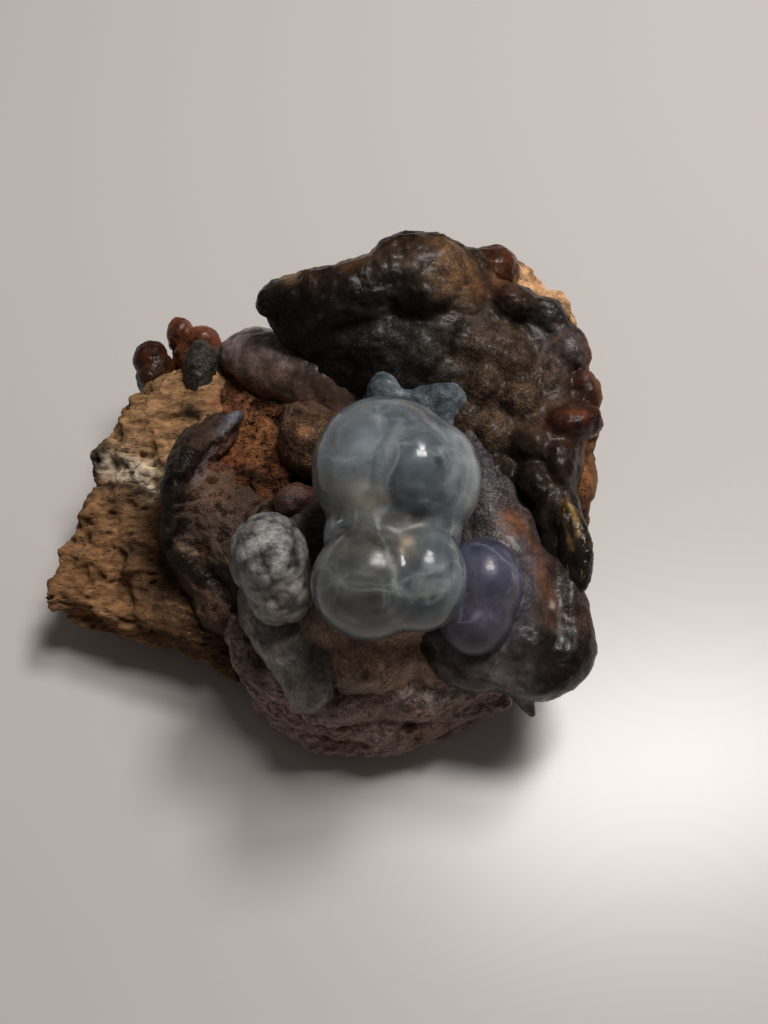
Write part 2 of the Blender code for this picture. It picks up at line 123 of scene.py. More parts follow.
# The crust: each roll is a rounded band through stations (x, y, z, radius)
RIM = [
    (-7.9, 26.4, RIM_HEIGHT - 0.6, 2.9), (-5.8, 26.1, RIM_HEIGHT - 0.3, 3.3),
    (-3.0, 26.3, RIM_HEIGHT - 1, 4.2), (2.0, 26.2, RIM_HEIGHT - 2, 5.8), (7.1, 27.2, RIM_HEIGHT - 1, 6.4),
    (12.1, 29.2, RIM_HEIGHT, 6.5), (17.5, 28.9, RIM_HEIGHT - 1, 6.0), (22.5, 27.5, RIM_HEIGHT - 5, 5.4),
    (26.6, 23.4, RIM_HEIGHT - 6, 4.8), (29.6, 19.3, RIM_HEIGHT - 7, 4.8),
    (31.2, 13.6, RIM_HEIGHT - 8, 4.8), (31.2, 8.0, RIM_HEIGHT - 8.6, 4.6),
    (31.0, 1.3, RIM_HEIGHT - 9, 4.2), (31.3, -6.0, RIM_HEIGHT - 10.2, 3.9),
    (31.0, -12.0, RIM_HEIGHT - 12, 3.6),
]
CURTAIN = [
    (-6.6, 25.0, 27.4, 2.8), (-2.2, 24.4, 26.2, 4.7), (4.0, 23.6, 25.6, 6.2), (11.0, 23.4, 26.0, 7.0),
    (18.0, 22.0, 25.6, 6.4), (24.0, 19.4, 24.2, 5.8), (28.0, 13.0, 22.8, 5.0), (28.8, 5.0, 22.0, 4.6),
]
INNER_FACE = [
    (1.0, 20.4, 21.5, 4.4), (8.0, 19.2, 22.5, 5.8), (15.5, 18.4, 23.0, 6.4), (21.4, 15.4, 22.5, 6.2),
    (25.6, 9.4, 21.0, 5.6), (27.8, 3.0, 19.6, 5.0), (30.0, -4.0, 17.6, 4.4), (30.4, -12.0, 17.6, 4.2),
    (28.4, -19.0, 17.6, 4.4),
]
OUTER_FACE = [
    (33.2, 15.0, 18.0, 4.4), (33.0, 6.0, 17.0, 4.4), (32.2, -3.0, 16.0, 4.2), (31.6, -11.0, 15.0, 4.2),
    (29.4, -17.0, 13.0, 4.2), (24.5, -21.0, 11.0, 4.0),
]
SHEET = [
    (19.4, 8.4, 21.4, 4.2), (20.6, 2.6, 22.0, 4.2), (21.8, -4.4, 22.2, 4.2), (23.2, -11.0, 22.4, 4.2),
    (24.8, -17.0, 22.6, 4.4), (26.0, -22.0, 21.8, 4.2), (26.8, -25.6, 21.4, 2.9),
]
RIDGE = [
    (-13.2, 11.8, 22.8, 0.9), (-15.6, 7.9, 24.2, 1.2), (-18.0, 3.1, 24.6, 1.4), (-20.2, -0.7, 23.6, 1.6),
    (-21.2, -4.2, 21.6, 1.7), (-21.2, -7.6, 18.8, 1.7), (-19.7, -10.4, 16.0, 1.6), (-16.7, -12.2, 14.2, 1.5),
    (-13.4, -13.2, 13.4, 1.2),
]
RIDGE_SIDE = [
    (-15.6, 10.4, 21.2, 2.3), (-17.8, 6.6, 22.2, 2.6), (-20.0, 2.2, 21.6, 2.9), (-19.8, -2.0, 19.6, 3.2),
    (-19.8, -5.8, 17.6, 3.3), (-18.8, -9.0, 15.0, 3.3), (-16.6, -11.6, 12.8, 3.3), (-13.0, -14.0, 11.4, 3.2),
]
BROWN_SLOPE = [
    (-15.0, 4.6, 18.0, 2.2), (-16.2, 0.8, 18.9, 2.6), (-16.6, -3.0, 18.8, 3.2), (-15.4, -6.6, 17.6, 3.4),
    (-12.0, -9.6, 16.6, 3.6), (-8.6, -13.4, 15.6, 3.8), (-6.0, -17.0, 13.6, 4.0),
]
PINK_ROLL = [
    (-16.4, 24.8, 17.2, 2.4), (-12.8, 24.0, 18.6, 3.9), (-8.6, 22.2, 19.4, 5.0), (-3.8, 20.4, 19.4, 5.6),
    (1.4, 18.0, 18.8, 5.2),
]
LOW_BULB = [(-8.4, -17.6, 19.6, 3.2), (-5.6, -21.2, 19.0, 3.8), (-1.8, -25.2, 17.8, 4.4)]
LIP_EDGE = [
    (13.4, -22.0, 21.7, 1.3), (18.4, -24.8, 21.4, 1.5), (22.8, -27.0, 20.9, 1.7), (27.0, -28.0, 20.4, 1.9),
    (30.4, -25.9, 20.4, 2.1), (32.2, -22.2, 20.6, 2.2), (33.0, -17.0, 20.4, 2.4),
]
SKIRT_FOLDS = [
    [(-11.5, -17.0, 13.5, 2.2), (-9.0, -21.4, 13.2, 2.5), (-5.5, -25.2, 13.2, 2.6), (1.0, -27.6, 13.0, 2.9),
     (8.0, -26.8, 14.0, 3.2), (15.0, -26.0, 13.0, 2.9), (21.0, -24.4, 12.6, 2.7)],
    [(-11.2, -19.4, 9.4, 2.2), (-8.0, -23.6, 9.0, 2.4), (-3.6, -27.4, 9.0, 2.5), (3.6, -29.2, 9.4, 2.7),
     (12.0, -28.0, 9.4, 2.6), (19.0, -26.2, 9.2, 2.4), (24.0, -24.4, 9.0, 2.1)],
    [(-8.6, -22.4, 5.2, 2.1), (-4.6, -26.4, 4.6, 2.2), (0.0, -29.2, 4.4, 2.3), (5.6, -30.0, 4.6, 2.3),
     (12.6, -28.6, 4.8, 2.2), (19.6, -26.0, 5.4, 2.0)],
]
TAIL = [(24.6, -24.0, 17.5, 2.6), (26.0, -27.4, 15.6, 1.6), (27.2, -29.6, 14.2, 0.8)]
STRIPED_FIN = [
    (31.6, -2.6, 23.4, 1.8), (32.4, -6.4, 24.4, 2.3), (33.0, -10.4, 24.0, 2.4), (33.2, -14.0, 22.4, 2.1),
]

# Lobes of the crust (x, y, z, radius across X, across Y, up)
HOLLOW_LOBES = [
    (9.0, -4.0, HOLLOW_HEIGHT, 9.0, 9.0, 8.6), (9.0, -16.0, HOLLOW_HEIGHT, 8.8, 7.2, 8.4),
    (-2.0, -8.0, 18.0, 8.0, 9.0, 6.5), (-6.5, -15.5, 19.5, 6.0, 5.6, 6.5), (18.0, -4.0, 18.0, 7.0, 10.0, 5.6),
    (18.6, -17.0, 18.5, 6.2, 6.6, 6.0), (7.0, 9.0, 17.5, 9.0, 7.0, 6.0), (17.0, 7.0, 18.0, 7.0, 6.0, 6.0),
    (6.5, -23.4, 17.0, 6.6, 4.6, 5.4), (14.5, -22.6, 14.6, 6.6, 4.2, 5.4), (0.4, -18.6, 19.4, 5.6, 5.2, 6.2),
    (2.0, 2.0, 18.6, 5.0, 6.0, 5.6),
]
SHEET_LOBES = [
    (18.4, 5.4, 19.4, 6.0, 5.6, 5.2), (20.2, -1.0, 19.8, 6.6, 7.0, 5.4), (22.4, -7.6, 20.0, 6.6, 7.4, 5.6),
    (24.6, -13.6, 20.2, 6.4, 7.4, 5.8),
]
BROWN_FLOOR = [
    (-12.8, -3.2, 18.6, 5.0, 4.8, 3.2), (-8.0, -5.0, 19.2, 5.2, 4.8, 3.6), (-11.6, -7.8, 17.8, 5.0, 4.6, 3.4),
    (-3.0, 12.2, 18.4, 5.2, 5.4, 4.6), (-3.0, 16.0, 17.2, 4.6, 4.2, 4.6),
]
BROWN_DOMES = [
    (-1.2, 6.2, 22.0, 5.8, 5.6, 6.4), (-4.2, -3.0, 22.6, 3.2, 3.0, 4.0),
]
BLUE_DOMES = [(8.4, 14.0, 22.0, 3.8, 3.6, 5.4), (15.4, 11.4, 21.8, 6.4, 5.2, 6.6)]
LIP_LOBES = [
    (21.0, -21.6, LIP_HEIGHT - 4.2, 8.8, 7.0, 4.8), (26.4, -16.8, LIP_HEIGHT - 3.6, 7.0, 9.6, 5.2),
    (27.2, -21.8, LIP_HEIGHT - 4.4, 7.8, 8.2, 5.4), (31.0, -15.4, LIP_HEIGHT - 5.0, 3.9, 9.4, 6.0),
]
WALL_BUMPS = [
    (13.4, 18.6, 27.2, 4.0, 3.6, 3.8), (20.4, 19.6, 27.6, 3.8, 3.6, 3.6), (25.4, 17.4, 27.0, 3.6, 3.2, 3.2),
    (6.6, 19.6, 26.6, 4.4, 3.8, 4.4), (21.4, 12.6, 25.6, 3.8, 3.4, 3.6), (26.8, 11.4, 26.0, 3.4, 3.2, 3.0),
    (23.6, 6.8, 24.6, 3.6, 3.2, 3.2), (28.0, 5.6, 24.6, 3.2, 3.2, 3.0), (28.4, 0.2, 23.8, 3.0, 3.4, 2.8),
    (10.0, 29.6, 31.8, 4.4, 3.8, 4.2), (17.6, 30.6, 32.0, 3.4, 3.0, 3.4), (3.6, 28.0, 31.2, 3.6, 3.2, 3.6),
    (-3.4, 27.2, 32.2, 2.4, 2.2, 2.4), (18.4, 24.8, 30.4, 3.6, 3.4, 3.4), (12.6, 24.4, 32.4, 4.4, 4.0, 4.2),
    (19.0, 9.6, 23.4, 4.2, 3.8, 3.8), (23.2, 2.4, 22.0, 3.4, 3.8, 3.4), (23.6, 21.6, 28.0, 2.8, 2.4, 2.6),
]
BEADS = [
    (23.0, 31.4, 29.9, 5.0, 3.4, 3.2), (25.8, 25.5, 29.6, 4.2, 3.5, 3.4), (30.4, 24.0, 28.4, 2.9, 3.1, 2.7),
    (33.5, 19.7, 26.8, 3.7, 3.6, 3.2), (35.6, 13.8, 24.8, 2.7, 4.0, 3.0), (33.6, 8.2, 25.8, 3.7, 2.9, 2.9),
    (31.5, 2.2, 25.4, 2.5, 3.2, 2.5),
]

# The see-through bubbles (x, y, z, radius across X, across Y, up)
BUBBLES = [
    (7.9, -5.2, BUBBLE_HEIGHT, 9.2, 9.3, 9.0), (11.4, -7.4, BUBBLE_HEIGHT + 2.9, 5.4, 6.4, 6.4),
    (14.6, -6.8, BUBBLE_HEIGHT + 0.5, 5.1, 6.8, 6.6), (5.9, -20.0, BUBBLE_HEIGHT - 1.5, 6.9, 6.7, 7.4),
    (12.3, -19.4, BUBBLE_HEIGHT - 1.5, 5.3, 6.3, 6.6), (8.7, -13.4, BUBBLE_HEIGHT - 2.2, 8.4, 5.6, 6.6),
]
KNOB = [(-6.7, -14.2, 30.0, 4.9, 5.4, 5.6), (-5.4, -17.4, 26.6, 4.3, 4.4, 4.4)]
DOME = [(20.2, -16.4, 26.6, 5.2, 5.8, 6.0), (19.2, -20.4, 25.4, 4.8, 5.0, 4.6)]

# The knobs at the slab's top edge
AMBER = [
    (-23.4, 30.0, 15.8, 2.3, 2.7, 3.7), (-20.0, 28.4, 16.2, 2.7, 2.6, 3.4),
    (-21.6, 27.4, 14.6, 3.2, 3.0, 3.4),
]
BLADE = [(-19.6, 22.2, 18.0, 2.6, 5.1, 4.0)]
BROWN = [
    (-27.9, 26.2, 15.2, 2.7, 2.9, 3.3), (-27.0, 24.6, 14.6, 2.8, 2.8, 3.2),
    (-27.6, 22.8, 15.0, 2.3, 2.4, 2.8),
]

# The clouded cores inside the bubbles: name, lobes, colour
CORES = [
    ("core_back", [(5.6, -4.6, 35.4, 6.4, 6.6, 6.4)], (104, 112, 114)),
    ("core_front", [(10.8, -7.4, 38.6, 5.0, 5.2, 5.2)], (78, 92, 96)),
    ("core_low_left", [(5.6, -20.2, 34.2, 5.0, 5.2, 5.4)], (92, 88, 80)),
    ("core_low_right", [(12.2, -19.6, 34.3, 3.9, 4.6, 5.0)], (84, 96, 98)),
]

# Painted patches. The places of a path are where the camera sees them, in pixels from the picture's left
# and top; then come the radius in millimetres, the strength, the colour, and how frosted the surface is
# there. None leaves the frost as it is.
ROCK_PATCHES = [
    ([(535, 275), (560, 305), (585, 335)], 4.0, 0.97, (220, 172, 128), None),
    ([(592, 440), (590, 480)], 3.0, 0.85, (140, 92, 58), None),
    ([(240, 600), (250, 640)], 5.0, 0.8, (70, 46, 32), None),
]
SLAB_PATCHES = [
    ([(130, 420), (160, 440), (180, 385)], 7.0, 0.7, (168, 130, 92), None),
    ([(90, 540), (120, 575), (85, 590)], 6.0, 0.6, (146, 106, 74), None),
    # Painted shade on the slab beside the ridge.
    ([(150, 505), (150, 550), (160, 590)], 3.2, 0.6, (64, 45, 32), None),
    ([(103, 462), (128, 470), (152, 480)], 1.7, 0.97, (220, 202, 180), None),
    ([(150, 468), (161, 484)], 1.3, 0.85, (196, 176, 146), None),
    ([(108, 484), (130, 488), (150, 493)], 0.8, 0.9, (40, 28, 20), None),
    ([(98, 448), (96, 470)], 1.5, 0.8, (48, 38, 31), None),
    ([(190, 412)], 1.3, 0.95, (24, 16, 11), None),
    ([(216, 404)], 1.0, 0.6, (116, 50, 34), None),
    ([(185, 595), (215, 612), (245, 645), (195, 635)], 4.6, 0.9, (66, 44, 31), None),
    ([(170, 600), (200, 615), (225, 640)], 0.5, 0.6, (140, 102, 70), None),
    ([(205, 585), (225, 610), (250, 620)], 0.4, 0.6, (128, 92, 66), None),
]
POCKET_PATCHES = [
    ([(235, 385), (255, 395)], 3.0, 0.5, (92, 62, 46), None),
    # Painted shade in a dark crevice of the pocket.
    ([(240, 472), (265, 478)], 1.2, 0.9, (24, 15, 10), None),
    ([(278, 400), (288, 410)], 2.0, 0.85, (24, 16, 12), None),
    ([(225, 470), (215, 490)], 2.0, 0.6, (112, 52, 34), None),
    ([(255, 430), (262, 450)], 2.6, 0.5, (140, 96, 58), None),
    ([(230, 500), (260, 505)], 2.4, 0.6, (74, 50, 38), None),
]
WALL_PATCHES = [
    ([(284, 274)], 1.3, 0.85, (158, 132, 102), 0.6),
    ([(302, 272)], 1.8, 0.7, (78, 50, 33), 0.05),
    ([(345, 264), (366, 258)], 2.0, 0.7, (78, 52, 35), 0.05),
    ([(400, 245), (430, 240), (455, 238)], 2.6, 0.85, (42, 25, 14), 0.0),
    ([(452, 255), (460, 285)], 3.0, 0.85, (124, 90, 60), 0.6),
    # Painted highlight: a paler line along the top of the rim.
    ([(430, 258), (405, 262), (380, 262)], 1.6, 0.6, (62, 50, 42), 0.0),
    ([(480, 292), (500, 284)], 2.2, 0.7, (116, 80, 52), 0.3),
    # Grey frosted patches on the wall's face: partly the frosting's own pale grey, partly painted highlight
    # and sparkle on the frosted lumps.
    ([(405, 335), (428, 348), (418, 372)], 4.2, 0.4, (66, 66, 63), 0.9),
    ([(350, 345), (382, 366)], 3.4, 0.3, (46, 46, 43), 0.8),
    # Painted glint on a frosty lump of the wall.
    ([(470, 318), (492, 325)], 2.6, 0.5, (74, 66, 66), 0.2),
    ([(478, 352), (520, 345), (500, 380), (540, 372), (480, 398)], 5.0, 0.75, (74, 56, 42), 0.75),
    ([(500, 420), (522, 410), (542, 398)], 4.6, 0.8, (88, 68, 52), 0.8),
    ([(530, 445), (545, 470)], 3.4, 0.6, (72, 56, 43), 0.5),
    ([(545, 495), (560, 520)], 2.6, 0.6, (60, 46, 34), 0.3),
    ([(594, 440), (592, 475)], 2.2, 0.9, (150, 100, 62), 0.6),
    ([(588, 505), (593, 545)], 2.2, 0.7, (46, 35, 27), 0.2),
    # Painted shade in the dark crevice between the sheet and the wall.
    ([(518, 440), (532, 482), (550, 530), (563, 566)], 1.8, 0.8, (22, 17, 14), 0.1),
    ([(505, 298), (525, 300)], 2.8, 0.8, (58, 40, 33), 0.0),
    ([(536, 312), (552, 326)], 1.8, 0.8, (34, 31, 28), 0.0),
    ([(556, 335), (575, 350), (585, 362)], 2.4, 0.85, (74, 66, 68), 0.1),
    ([(558, 350), (568, 345)], 0.5, 0.8, (132, 120, 116), 0.3),
    ([(582, 360), (588, 368)], 0.6, 0.8, (136, 122, 118), 0.2),
    ([(553, 340), (562, 335)], 0.5, 0.6, (120, 92, 70), 0.3),
    ([(582, 378), (588, 400)], 2.4, 0.9, (50, 27, 20), 0.0),
    ([(592, 345), (600, 375), (602, 400)], 1.2, 0.85, (104, 62, 40), 0.3),
    ([(560, 420), (580, 420), (595, 425)], 2.8, 0.95, (50, 23, 13), 0.0),
    # Painted highlight on the rust ovoid.
    ([(572, 412), (585, 414)], 0.7, 0.7, (124, 70, 44), 0.0),
    ([(555, 455), (562, 470)], 2.2, 0.9, (40, 28, 24), 0.0),
    # Painted shade: a thin dark crease between the wall's face and its lumps.
    ([(452, 300), (458, 330), (452, 350)], 0.8, 0.7, (12, 9, 8), 0.0),
    # Painted highlight: a thin pale glint line along the rim lumps.
    ([(395, 262), (420, 268), (440, 280), (455, 300)], 0.6, 0.6, (96, 82, 70), 0.3),
    # Painted glint: a thin pale line on the frosty lumps.
    ([(470, 312), (490, 305), (505, 318)], 0.7, 0.6, (104, 92, 80), 0.2),
]
FIN_PATCHES = [
    ([(566, 488), (573, 510), (578, 535)], 0.35, 0.9, (176, 140, 84), 0.1),
    ([(572, 485), (582, 510), (588, 545)], 0.3, 0.8, (132, 100, 60), 0.1),
    ([(560, 500), (565, 525), (572, 550)], 0.3, 0.6, (110, 84, 52), 0.1),
]
HOLLOW_PATCHES = [
    # Painted shade in the hollow between the bubbles and the brown dome.
    ([(330, 500), (320, 545)], 4.0, 0.85, (36, 26, 20), 0.4),
    ([(350, 645), (400, 660), (440, 662)], 5.5, 0.9, (188, 152, 128), 0.7),
    ([(350, 385), (400, 390), (445, 400)], 4.0, 0.8, (74, 82, 86), 0.9),
]
DOME_PATCHES = [
    # Painted glint on the brown dome.
    ([(305, 433)], 0.9, 0.75, (150, 100, 60), 0.0),
    ([(340, 410), (330, 470)], 2.4, 0.5, (84, 66, 52), 0.6),
    ([(295, 500), (305, 510)], 3.0, 0.8, (84, 62, 60), 0.15),
]
BLUE_PATCHES = [
    ([(352, 378), (362, 373), (370, 376)], 0.8, 0.8, (132, 138, 138), 0.5),
    ([(380, 386), (395, 390)], 1.0, 0.6, (104, 112, 114), 0.4),
    ([(425, 374), (440, 368), (455, 374)], 0.7, 0.8, (128, 132, 126), 0.5),
    ([(432, 388), (448, 392)], 1.4, 0.7, (66, 76, 82), 0.3),
]
LIP_PATCHES = [
    ([(470, 430), (490, 470), (500, 510), (505, 550)], 6.4, 0.97, (92, 86, 91), 0.85),
    ([(515, 500), (525, 535), (525, 575), (512, 622)], 1.3, 0.5, (98, 96, 100), 0.5),
    ([(516, 518), (530, 552), (543, 590), (552, 625)], 2.3, 0.9, (124, 80, 50), 0.2),
    ([(505, 600), (500, 625), (493, 642)], 2.0, 0.6, (90, 66, 50), 0.2),
    ([(522, 600), (527, 640)], 2.8, 0.7, (70, 62, 62), 0.1),
    ([(545, 672), (570, 658), (580, 638)], 4.4, 0.97, (24, 16, 14), 0.05),
    ([(582, 575), (590, 610), (590, 645)], 3.0, 0.95, (46, 27, 21), 0.4),
    ([(480, 658), (510, 678), (532, 688)], 2.2, 0.75, (50, 46, 46), 0.2),
    ([(455, 650), (480, 667), (510, 689), (545, 696)], 0.5, 0.85, (132, 128, 124), 0.2),
    # Painted glints on the lip.
    ([(552, 605)], 0.5, 1.0, (210, 186, 164), 0.0),
    ([(561, 632)], 0.6, 0.9, (200, 176, 156), 0.0),
    ([(575, 560), (585, 590), (588, 620)], 3.0, 0.95, (60, 38, 29), 0.6),
    ([(560, 570), (572, 610)], 1.6, 0.8, (44, 30, 24), 0.4),
    ([(495, 655), (520, 672), (548, 684)], 1.2, 0.7, (104, 100, 104), 0.1),
    ([(500, 612), (506, 640)], 1.2, 0.8, (110, 76, 52), 0.1),
    ([(460, 645), (490, 650), (515, 655)], 3.0, 0.85, (98, 90, 92), 0.15),
    ([(520, 545), (528, 580), (524, 615), (512, 645)], 1.6, 0.8, (84, 78, 88), 0.4),
    ([(505, 648), (480, 655), (455, 650)], 1.4, 0.7, (112, 104, 112), 0.3),
    ([(545, 664), (556, 660), (564, 652)], 2.2, 0.7, (34, 26, 25), 0.0),
    ([(495, 664), (515, 670), (530, 665)], 2.0, 0.7, (92, 82, 82), 0.1),
    ([(538, 610), (545, 640), (530, 650)], 1.6, 0.7, (72, 62, 58), 0.0),
    ([(552, 655), (566, 650), (574, 664), (560, 678)], 3.4, 0.9, (26, 18, 16), 0.0),
]
RIDGE_PATCHES = [
    (
        [(229, 408), (213, 430), (195, 458), (177, 487), (168, 515), (168, 545), (180, 572), (205, 588)],
        2.4, 0.97, (10, 8, 8), 0.05,
    ),
    # The ridge's near-black outer face: dark opal, darkened further with painted shade on the side away from
    # the light.
    ([(200, 440), (180, 465), (162, 500), (162, 535), (172, 572)], 2.6, 0.97, (9, 8, 7), 0.05),
    ([(214, 420), (200, 444)], 1.2, 0.6, (66, 46, 38), 0.1),
    ([(233, 412), (224, 432), (210, 457), (198, 480)], 0.8, 0.95, (112, 120, 132), 0.2),
    ([(224, 445), (215, 470), (206, 495)], 2.6, 0.8, (92, 58, 40), 0.9),
    ([(200, 505), (190, 530), (220, 530)], 2.6, 0.5, (58, 41, 33), 0.8),
    ([(180, 545), (200, 557), (236, 563)], 0.5, 0.55, (120, 96, 76), 0.3),
    ([(265, 398), (292, 412), (310, 400)], 3.0, 0.6, (84, 58, 42), 0.5),
    ([(185, 592), (205, 612), (228, 628)], 3.0, 0.9, (74, 50, 35), 0.7),
    # Painted shadow beneath the ridge.
    ([(176, 560), (200, 580), (240, 584)], 0.8, 0.9, (18, 14, 12), 0.1),
]
ROLL_PATCHES = [
    ([(230, 348), (262, 335), (300, 345)], 2.8, 0.6, (88, 80, 82), 0.0),
    ([(240, 382), (280, 388), (320, 402)], 3.0, 0.7, (80, 54, 38), 0.4),
    # Painted highlight on the top of the pink roll.
    ([(235, 345), (262, 340), (280, 345)], 1.2, 0.7, (132, 116, 112), 0.1),
    # Painted shade under the wall's overhang, at the roll's right end.
    ([(312, 372), (335, 385), (352, 394)], 3.0, 0.85, (62, 44, 34), 0.2),
]
BULB_PATCHES = [
    ([(265, 652), (292, 672), (322, 703)], 0.5, 0.7, (150, 148, 144), 0.1),
    ([(280, 645), (306, 662), (330, 690)], 0.5, 0.6, (140, 138, 134), 0.1),
]
SKIRT_PATCHES = [
    ([(330, 732), (345, 745)], 3.0, 0.6, (116, 66, 50), None),
    ([(400, 700), (460, 690), (430, 720)], 5.0, 0.6, (122, 90, 74), None),
    ([(300, 692), (340, 715), (400, 722), (460, 712)], 0.5, 0.6, (150, 130, 116), 0.1),
    ([(330, 735), (390, 742), (450, 735)], 0.5, 0.5, (140, 120, 106), 0.1),
    ([(258, 640), (250, 668)], 3.0, 0.6, (56, 40, 31), None),
    ([(500, 708), (480, 725)], 3.0, 0.5, (62, 45, 37), None),
    ([(300, 650), (330, 668), (360, 680)], 1.0, 0.6, (176, 172, 168), 0.5),
    ([(400, 690), (430, 700), (460, 695)], 1.0, 0.6, (190, 176, 168), 0.5),
    ([(420, 735), (450, 738)], 1.6, 0.7, (110, 62, 50), 0.2),
]
BUBBLE_PATCHES = [
    ([(463, 445), (471, 470), (469, 502)], 2.6, 0.85, (228, 236, 238), 0.55),
    ([(402, 428), (389, 450), (383, 475), (384, 496)], 0.7, 0.8, (226, 232, 232), 0.42),
    ([(458, 440), (453, 475), (441, 504), (436, 525)], 0.7, 0.85, (226, 232, 232), 0.45),
    ([(427, 440), (427, 480), (422, 515)], 3.4, 0.6, (150, 168, 182), 0.06),
    ([(345, 420), (338, 450), (336, 480), (342, 510)], 0.8, 0.5, (206, 210, 210), 0.25),
    ([(365, 410), (400, 402), (430, 408), (450, 425)], 0.6, 0.6, (220, 224, 222), 0.3),
    ([(352, 490), (366, 506), (378, 500)], 1.7, 0.95, (214, 202, 186), 0.6),
    ([(402, 536), (410, 552)], 1.2, 0.9, (214, 196, 172), 0.5),
    ([(380, 560), (392, 556)], 1.0, 0.6, (150, 138, 124), 0.3),
    ([(345, 535), (365, 542), (385, 546)], 2.8, 0.97, (84, 70, 58), 0.15),
    ([(340, 600), (360, 622), (376, 628)], 2.4, 0.6, (172, 164, 150), 0.1),
    ([(360, 585), (376, 600)], 3.2, 0.6, (138, 130, 118), 0.0),
    ([(428, 575), (432, 598)], 3.4, 0.5, (138, 154, 162), 0.0),
    ([(392, 568), (396, 590), (412, 596), (440, 590), (455, 575)], 0.5, 0.7, (224, 228, 226), 0.35),
    ([(432, 556), (420, 590), (398, 622)], 0.45, 0.6, (222, 226, 224), 0.3),
    ([(358, 497)], 0.8, 0.95, (232, 222, 206), 0.95),
    ([(370, 502)], 0.7, 0.9, (226, 214, 196), 0.9),
    ([(348, 504)], 0.6, 0.8, (222, 208, 190), 0.8),
    ([(366, 487)], 0.6, 0.8, (222, 214, 204), 0.8),
    ([(402, 538)], 0.6, 0.9, (226, 208, 182), 0.7),
    ([(408, 543)], 0.8, 0.95, (232, 208, 176), 1.0),
    ([(402, 552)], 0.5, 0.9, (220, 196, 160), 0.9),
    ([(330, 450), (345, 462), (365, 455), (380, 440)], 0.4, 0.6, (210, 216, 216), 0.35),
    ([(340, 430), (360, 418), (385, 420)], 0.4, 0.6, (214, 220, 222), 0.35),
    ([(400, 402), (420, 412), (432, 428)], 0.5, 0.6, (214, 204, 190), 0.3),
    ([(325, 575), (332, 600), (350, 620)], 0.5, 0.5, (196, 190, 176), 0.25),
    ([(330, 470), (340, 500), (352, 520)], 1.0, 0.5, (196, 200, 196), 0.3),
    ([(440, 450), (446, 470), (444, 490)], 0.5, 0.6, (224, 228, 230), 0.4),
    ([(466, 470), (452, 476), (446, 484)], 0.4, 0.6, (214, 220, 222), 0.4),
    ([(330, 560), (345, 548), (362, 552)], 0.6, 0.5, (176, 166, 150), 0.3),
    ([(440, 560), (452, 585), (448, 605)], 0.6, 0.5, (208, 214, 214), 0.3),
    ([(388, 525), (400, 522), (420, 522)], 1.5, 0.97, (64, 54, 44), 0.6),
    ([(376, 556)], 1.5, 0.85, (104, 92, 78), 0.35),
]
CORE_PATCHES = [
    ([(365, 440), (352, 470), (362, 500), (380, 515)], 0.9, 0.8, (156, 162, 162), 0.3),
    ([(350, 455), (372, 470)], 0.5, 0.7, (150, 158, 158), 0.3),
    ([(410, 500), (430, 505), (450, 490)], 0.6, 0.7, (146, 154, 156), 0.3),
    ([(355, 500), (375, 510)], 1.8, 0.8, (160, 148, 132), 0.4),
    ([(350, 590), (365, 605), (385, 605)], 0.6, 0.6, (128, 122, 112), 0.2),
    ([(345, 485), (360, 498), (378, 500)], 1.2, 0.9, (198, 186, 168), 0.5),
    ([(330, 455), (345, 470), (350, 490)], 0.8, 0.7, (148, 158, 164), 0.3),
]
KNOB_PATCHES = [
    ([(255, 550), (248, 565)], 1.3, 0.8, (184, 184, 182), 0.5),
    ([(282, 556), (275, 575)], 1.3, 0.8, (178, 178, 176), 0.5),
    ([(290, 535), (270, 528)], 1.2, 0.6, (176, 175, 172), 0.5),
    ([(262, 592)], 1.1, 0.6, (170, 168, 165), 0.4),
    ([(285, 600), (300, 618), (308, 628)], 3.6, 0.95, (158, 148, 138), 0.05),
    ([(250, 528), (240, 545)], 1.0, 0.5, (84, 80, 78), 0.3),
]
VIOLET_PATCHES = [
    ([(462, 592), (480, 601), (500, 596)], 0.4, 0.6, (150, 148, 168), 0.1),
    ([(470, 560), (476, 585), (470, 610)], 0.4, 0.5, (140, 138, 160), 0.1),
    ([(455, 640), (478, 648), (500, 642), (512, 625)], 3.4, 0.9, (80, 74, 78), 0.35),
]


class Tree:
    """A node tree being built: nodes are added with their settings and inputs in one call."""

    def __init__(self, tree):
        self.tree = tree

    def add(self, kind, inputs=None, **settings):
        node = self.tree.nodes.new(kind)
        for name, value in settings.items():
            setattr(node, name, value)
        for name, value in (inputs or {}).items():
            self.feed(node.inputs[name], value)
        return node

    def feed(self, socket, value):
        if isinstance(value, bpy.types.NodeSocket):
            self.tree.links.new(value, socket)
        else:
            socket.default_value = value

    def maths(self, operation, first, second, clamp=False):
        node = self.add("ShaderNodeMath", {0: first, 1: second}, operation=operation, use_clamp=clamp)
        return node.outputs[0]

    def plus(self, first, second):
        return self.maths("ADD", first, second)

    def minus(self, first, second):
        return self.maths("SUBTRACT", first, second)

    def times(self, first, second, clamp=False):
        return self.maths("MULTIPLY", first, second, clamp)

    def over(self, first, second):
        return self.maths("DIVIDE", first, second)

    def vectors(self, operation, first, second):
        return self.add("ShaderNodeVectorMath", {0: first, 1: second}, operation=operation).outputs[0]

    def scaled(self, vector, scale):
        return self.add("ShaderNodeVectorMath", {0: vector, "Scale": scale}, operation="SCALE").outputs[0]

    def spread(self, value, low, high, to_low=0.0, to_high=1.0):
        """Maps low..high to to_low..to_high with soft ends."""
        node = self.add(
            "ShaderNodeMapRange",
            {"Value": value, "From Min": low, "From Max": high, "To Min": to_low, "To Max": to_high},
            interpolation_type="SMOOTHSTEP",
        )
        return node.outputs["Result"]

    def attribute(self, name):
        return self.add("ShaderNodeAttribute", attribute_name=name)


